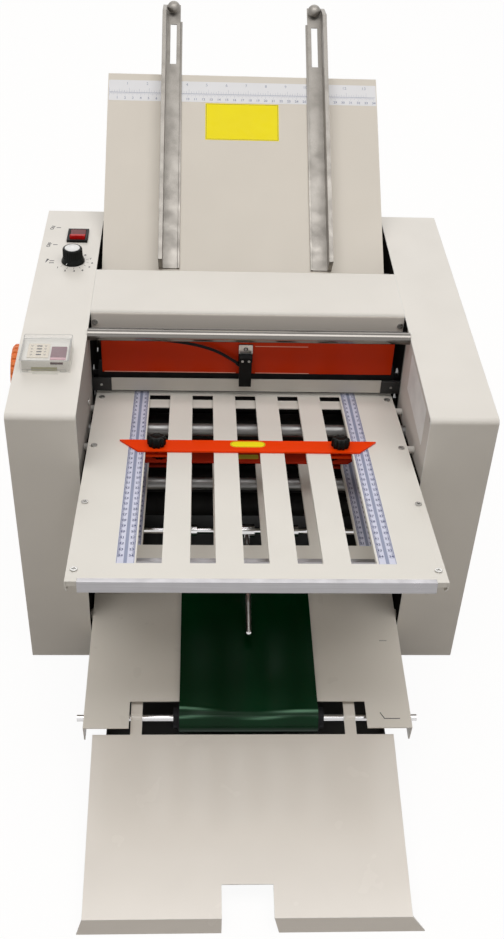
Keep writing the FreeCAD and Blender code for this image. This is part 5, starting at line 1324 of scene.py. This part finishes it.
# %% Ripples
RIPPLES_WITHIN = 45.0
HIGH_AT, HIGH_SWAY, HIGH_MM, HIGH_WIDTH = -2.0, 4.0, 0.55, 2.2
LOW_AT, LOW_SWAY, LOW_MM, LOW_WIDTH = -9.0, 1.2, 0.45, 2.0


def ripple(along_mm, x):
    if abs(along_mm) > RIPPLES_WITHIN:
        return 0.0
    across = (x - BELT_LEFT) / (BELT_RIGHT - BELT_LEFT)
    first = HIGH_AT + HIGH_SWAY * math.cos(across * 5.0) * (1.0 - across)
    second = LOW_AT + LOW_SWAY * math.sin(across * 9.0)
    high = HIGH_MM * math.exp(-((along_mm - first) / HIGH_WIDTH) ** 2)
    low = LOW_MM * math.exp(-((along_mm - second) / LOW_WIDTH) ** 2)
    return high * (0.55 + 0.45 * math.cos(across * 7.0)) + low * (0.7 + 0.3 * math.sin(across * 11.0 + 1.0))


print("lift at the belt's middle:", round(ripple(HIGH_AT, (BELT_LEFT + BELT_RIGHT) / 2), 2), "mm")


# %% The belt itself
ACROSS_STEPS = 48
FULL_HIGHLIGHT_LIFT_MM = 0.5


def belt_mesh():
    width = BELT_RIGHT - BELT_LEFT
    across = [BELT_LEFT + width * i / ACROSS_STEPS for i in range(ACROSS_STEPS + 1)]
    outer, inner = loop_points(BELT_OUTSIDE), loop_points(BELT_INSIDE)
    points, faces, highlight_shares = [], [], []
    for (place, out, where), (under, _, _) in zip(outer, inner):
        for x in across:
            lift = ripple(where, x)
            skin = place + out * lift
            points.append((x * MM, skin.x * MM, skin.y * MM))
            # The share of painted highlight grows with the lift of the ripple
            highlight_shares.append(min(0.85, (lift / FULL_HIGHLIGHT_LIFT_MM) ** 3))
        for x in reversed(across):
            points.append((x * MM, under.x * MM, under.y * MM))
            highlight_shares.append(0.0)
    ring = 2 * len(across)
    for i in range(len(outer)):
        a, b = i * ring, (i + 1) % len(outer) * ring
        for j in range(ring):
            k = (j + 1) % ring
            faces.append((a + j, a + k, b + k, b + j))
    mesh = bpy.data.meshes.new("belt")
    mesh.from_pydata(points, [], faces)
    mesh.attributes.new("crest", "FLOAT", "POINT").data.foreach_set("value", highlight_shares)
    mesh.materials.append(belt_green)
    return mesh


belt = placed("green_belt", smooth(belt_mesh(), 50.0), "frame", ("conveyor_belt",))
print("belt:", len(belt.data.polygons), "faces")

# %% [markdown]
# ## Paint that changes by place
# In front the inner walls show grey paint. Behind the guard and in the narrow gap below the upper fold
# plate they are painted nearly black, and the left wall is painted darker than the right. This is painted
# shade, standing in for the shadow inside the machine and on the wall that faces away from the light.
# A ramp is a tone that changes along one direction. A finish may have several, and at each point the
# darkest one wins.

# %% Ramps
def by_place(made, dark, *ramps):
    """Each ramp is (direction, where it starts in mm, where it is full in mm)."""
    tree = made.node_tree
    place = tree.nodes.new("ShaderNodeTexCoord").outputs["Object"]
    darkest = None
    for direction, start_mm, end_mm in ramps:
        along = tree.nodes.new("ShaderNodeVectorMath")
        along.operation = "DOT_PRODUCT"
        along.inputs[1].default_value = direction
        tree.links.new(place, along.inputs[0])
        fade = rescaled(tree, along.outputs["Value"], start_mm * MM, end_mm * MM)
        darkest = fade if darkest is None else worked_out(tree, "MAXIMUM", darkest, fade)
    return painted_over(made, dark, darkest)


BACKWARDS, FORWARDS, TO_THE_LEFT = (0.0, 1.0, 0.0), (0.0, -1.0, 0.0), (-1.0, 0.0, 0.0)
tilt = math.radians(PLATE_SLOPE_DEG)
below_plate = (0.0, math.sin(tilt), -math.cos(tilt))
plate_level = (UPPER.translation / MM).dot(Vector(below_plate))
print("the upper plate lies", round(plate_level, 1), "mm along the way down")

# %% Side plates with painted shade
PAINTED_SHADE_BLACK = (0.012, 0.011, 0.011)
PLATE_HALF_W = 172.3
wall_paint = powder_paint("side_plate_paint", (0.66, 0.635, 0.60), 0.6, specular=0.0)
# Painted shade: nearly black behind the guard, below the upper plate's level, and darker towards the left
by_place(wall_paint, PAINTED_SHADE_BLACK, (BACKWARDS, 22.0, 30.0), (below_plate, plate_level + 14.0, plate_level + 18.0),
         (TO_THE_LEFT, 60.0, 330.0))
repaint(nodes["side_plates"].data, wall_paint)
# The upper plate's pins stand in the walls, so they take the walls' paint and its painted shade below the plate.
upper_plate = bpy.data.objects["upper_plate_top_soft"].data
upper_plate.materials.append(wall_paint)
pins = [face for face in upper_plate.polygons if abs(face.center.x / MM - PLATE_MIDDLE) > PLATE_HALF_W]
for face in pins:
    face.material_index = len(upper_plate.materials) - 1
print("side plates dressed;", len(pins), "faces of pins with them")

# %% Guard, cover and rocker
GUARD_BACK = 25.5
COVER_FRONT = -52.0
ROCKER_RIDGE = 229.3
# The guard's back and top edge are painted dark grey: painted shade, which also keeps red light off the cover
by_place(red_paint, (0.10, 0.095, 0.09), (BACKWARDS, GUARD_BACK, GUARD_BACK + 0.2))
# The cover's front face is painted paler than the rest: painted light on a face the bar shades
cover_paint = powder_paint("cover_powder_paint", HOUSING_TONE, 0.36)
by_place(cover_paint, (1.0, 0.93, 0.85), (FORWARDS, COVER_FRONT - 0.4, COVER_FRONT))
bpy.data.objects["top_cover_soft"].data.materials[0] = cover_paint
# The rocker's rear half is painted dark red: painted shade, with the front half left bright
by_place(rocker_red, (0.14, 0.004, 0.008), (BACKWARDS, ROCKER_RIDGE, ROCKER_RIDGE + 0.6))
print("the guard's back is grey, the cover's front pale, the rocker's rear half dark")

# %% [markdown]
# ## The drive motor
# Behind, under the feed table, a round motor drives the belts. Its body is cast with cooling ribs, which are
# a ring repeated along the axis. The tree sweeps a small rectangle round a circle once and sets it on
# a line of points. Two end shields are turned on the lathe.

# %% Cooling ribs
def rib_tree():
    tree, make, link, given = start_tree("cooling_ribs", Count="Int", Pitch="Float", Radius="Float",
                                         Rib_Width="Float", Rib_Height="Float", Paint="Material")
    ring = make("GeometryNodeCurvePrimitiveCircle")
    ring.inputs["Resolution"].default_value = 72
    section = make("GeometryNodeCurvePrimitiveQuadrilateral")
    sweep = make("GeometryNodeCurveToMesh")
    step = make("ShaderNodeCombineXYZ")
    line = make("GeometryNodeMeshLine")
    put = make("GeometryNodeInstanceOnPoints")
    link(given["Radius"], ring.inputs["Radius"])
    link(given["Rib Height"], section.inputs["Width"])
    link(given["Rib Width"], section.inputs["Height"])
    link(ring.outputs[0], sweep.inputs["Curve"])
    link(section.outputs[0], sweep.inputs["Profile Curve"])
    link(given["Pitch"], step.inputs["Z"])
    link(given["Count"], line.inputs["Count"])
    link(step.outputs[0], line.inputs["Offset"])
    link(line.outputs[0], put.inputs["Points"])
    link(sweep.outputs[0], put.inputs["Instance"])
    return end_tree(tree, put.outputs[0], given["Paint"])


def on_motor(x):
    return spot(x, 251.7, 76.0) @ LIE_ALONG_X


on_chassis = {"slot": "motor_paint", "sharp_deg": 30.0}
ribs = grown(rib_tree(), Count=15, Pitch=5.4 * MM, Radius=36.4 * MM, Rib_Width=1.8 * MM, Rib_Height=2.4 * MM,
             Paint=motor_paint)
laid("motor_ribs", [(ribs, on_motor(-146.0))], motor_paint, **on_chassis)
print("motor ribs:", len(ribs.polygons), "faces")

# %% Shields and bolts
BOLT_CIRCLE = 38.0
shield = turned([(0.0, -0.3), (34.0, -0.3), (36.9, 1.2), (36.9, 9.0), (36.0, 9.4), (0.0, 9.4)], 72)
end_cap = turned([(0.0, 0.0), (9.0, 0.0), (11.0, 0.4), (11.0, 2.0), (0.0, 2.0)], 40)
shields = [(shield, on_motor(-167.4)), (shield, on_motor(-57.4)), (end_cap, on_motor(-48.3))]
laid("motor_shields", shields, motor_paint, **on_chassis)
quarters = [math.pi / 4 + i * math.pi / 2 for i in range(4)]
bolts = [(BOLT_CIRCLE * math.cos(a) * 0.78, BOLT_CIRCLE * math.sin(a) * 0.78, 0.0) for a in quarters]
on_shield = seated(plate_head, bolts, on_motor(-48.0))
laid("motor_bolts", [on_shield], screw_steel, slot="screw_steel", sharp_deg=30.0)
print("motor bolts:", len(bolts))

# %% [markdown]
# ## Small signs of making and use, and painted highlights
# The delivery table has fine slits where its press tool cut a lug. The tray's two straps reach back over the
# shaft to the notch's rear edge. Along the red guard's upper and lower edges lie pale strips of painted
# highlight. Each of these is a thin sheet cut to its own outline and laid on its part.

# %% Slits and straps
SLIT = 0.9
SLIT_T, SLIT_LIFT = 0.04, 0.02
slit_marks = []
for length, width, x, y, turn_deg in ((17.5, SLIT, 154.6, 11.5, 0.0), (9.0, SLIT, 144.6, 15.3, -62.0),
                                      (8.6, SLIT * 0.6, 156.7, 118.1, 0.0)):
    slit = cut_sheet([rounded(length, width, 0.2)], SLIT_T)
    slit_marks.append((slit, DELIVERY @ spot(x, y, SLIT_LIFT, turn_deg)))
laid("table_slits", slit_marks, black_ink)
strap_sheet = cut_sheet([rounded(12.4, 17.0, 1.0)], 1.4, 0.3)
STRAP_TILT = Matrix.Rotation(math.radians(-4.0), 4, "X")
straps = [(strap_sheet, TRAY @ spot(x, 9.6, 3.7) @ STRAP_TILT) for x in (-119.8, 110.2)]
laid("tray_straps", straps, tray_paint, "catch_tray", "housing_paint")
print("slits:", len(slit_marks), "straps:", len(straps))

# %% Painted highlights on the guard's edges
# A pale red for the painted highlight strips along the guard's edges
painted_highlight_red = vinyl("worn_enamel_edge", (0.80, 0.42, 0.32), 0.3)
FRONT_OF_GUARD = spot(0.0, 25.15) @ STAND
edges = [(cut_sheet([rounded(width, 0.8, 0.3)], 0.12), FRONT_OF_GUARD @ spot(x, z))
         for width, x, z in ((150.0, -78.0, 295.2), (62.0, 50.0, 295.2), (60.0, 48.0, 331.4))]
laid("guard_edge_shine", edges, painted_highlight_red, slot="red_paint")
for template in (plate_head, small_head):
    bpy.data.objects.remove(template)
# The count is of the painted highlight strips
print("worn edges:", len(edges))
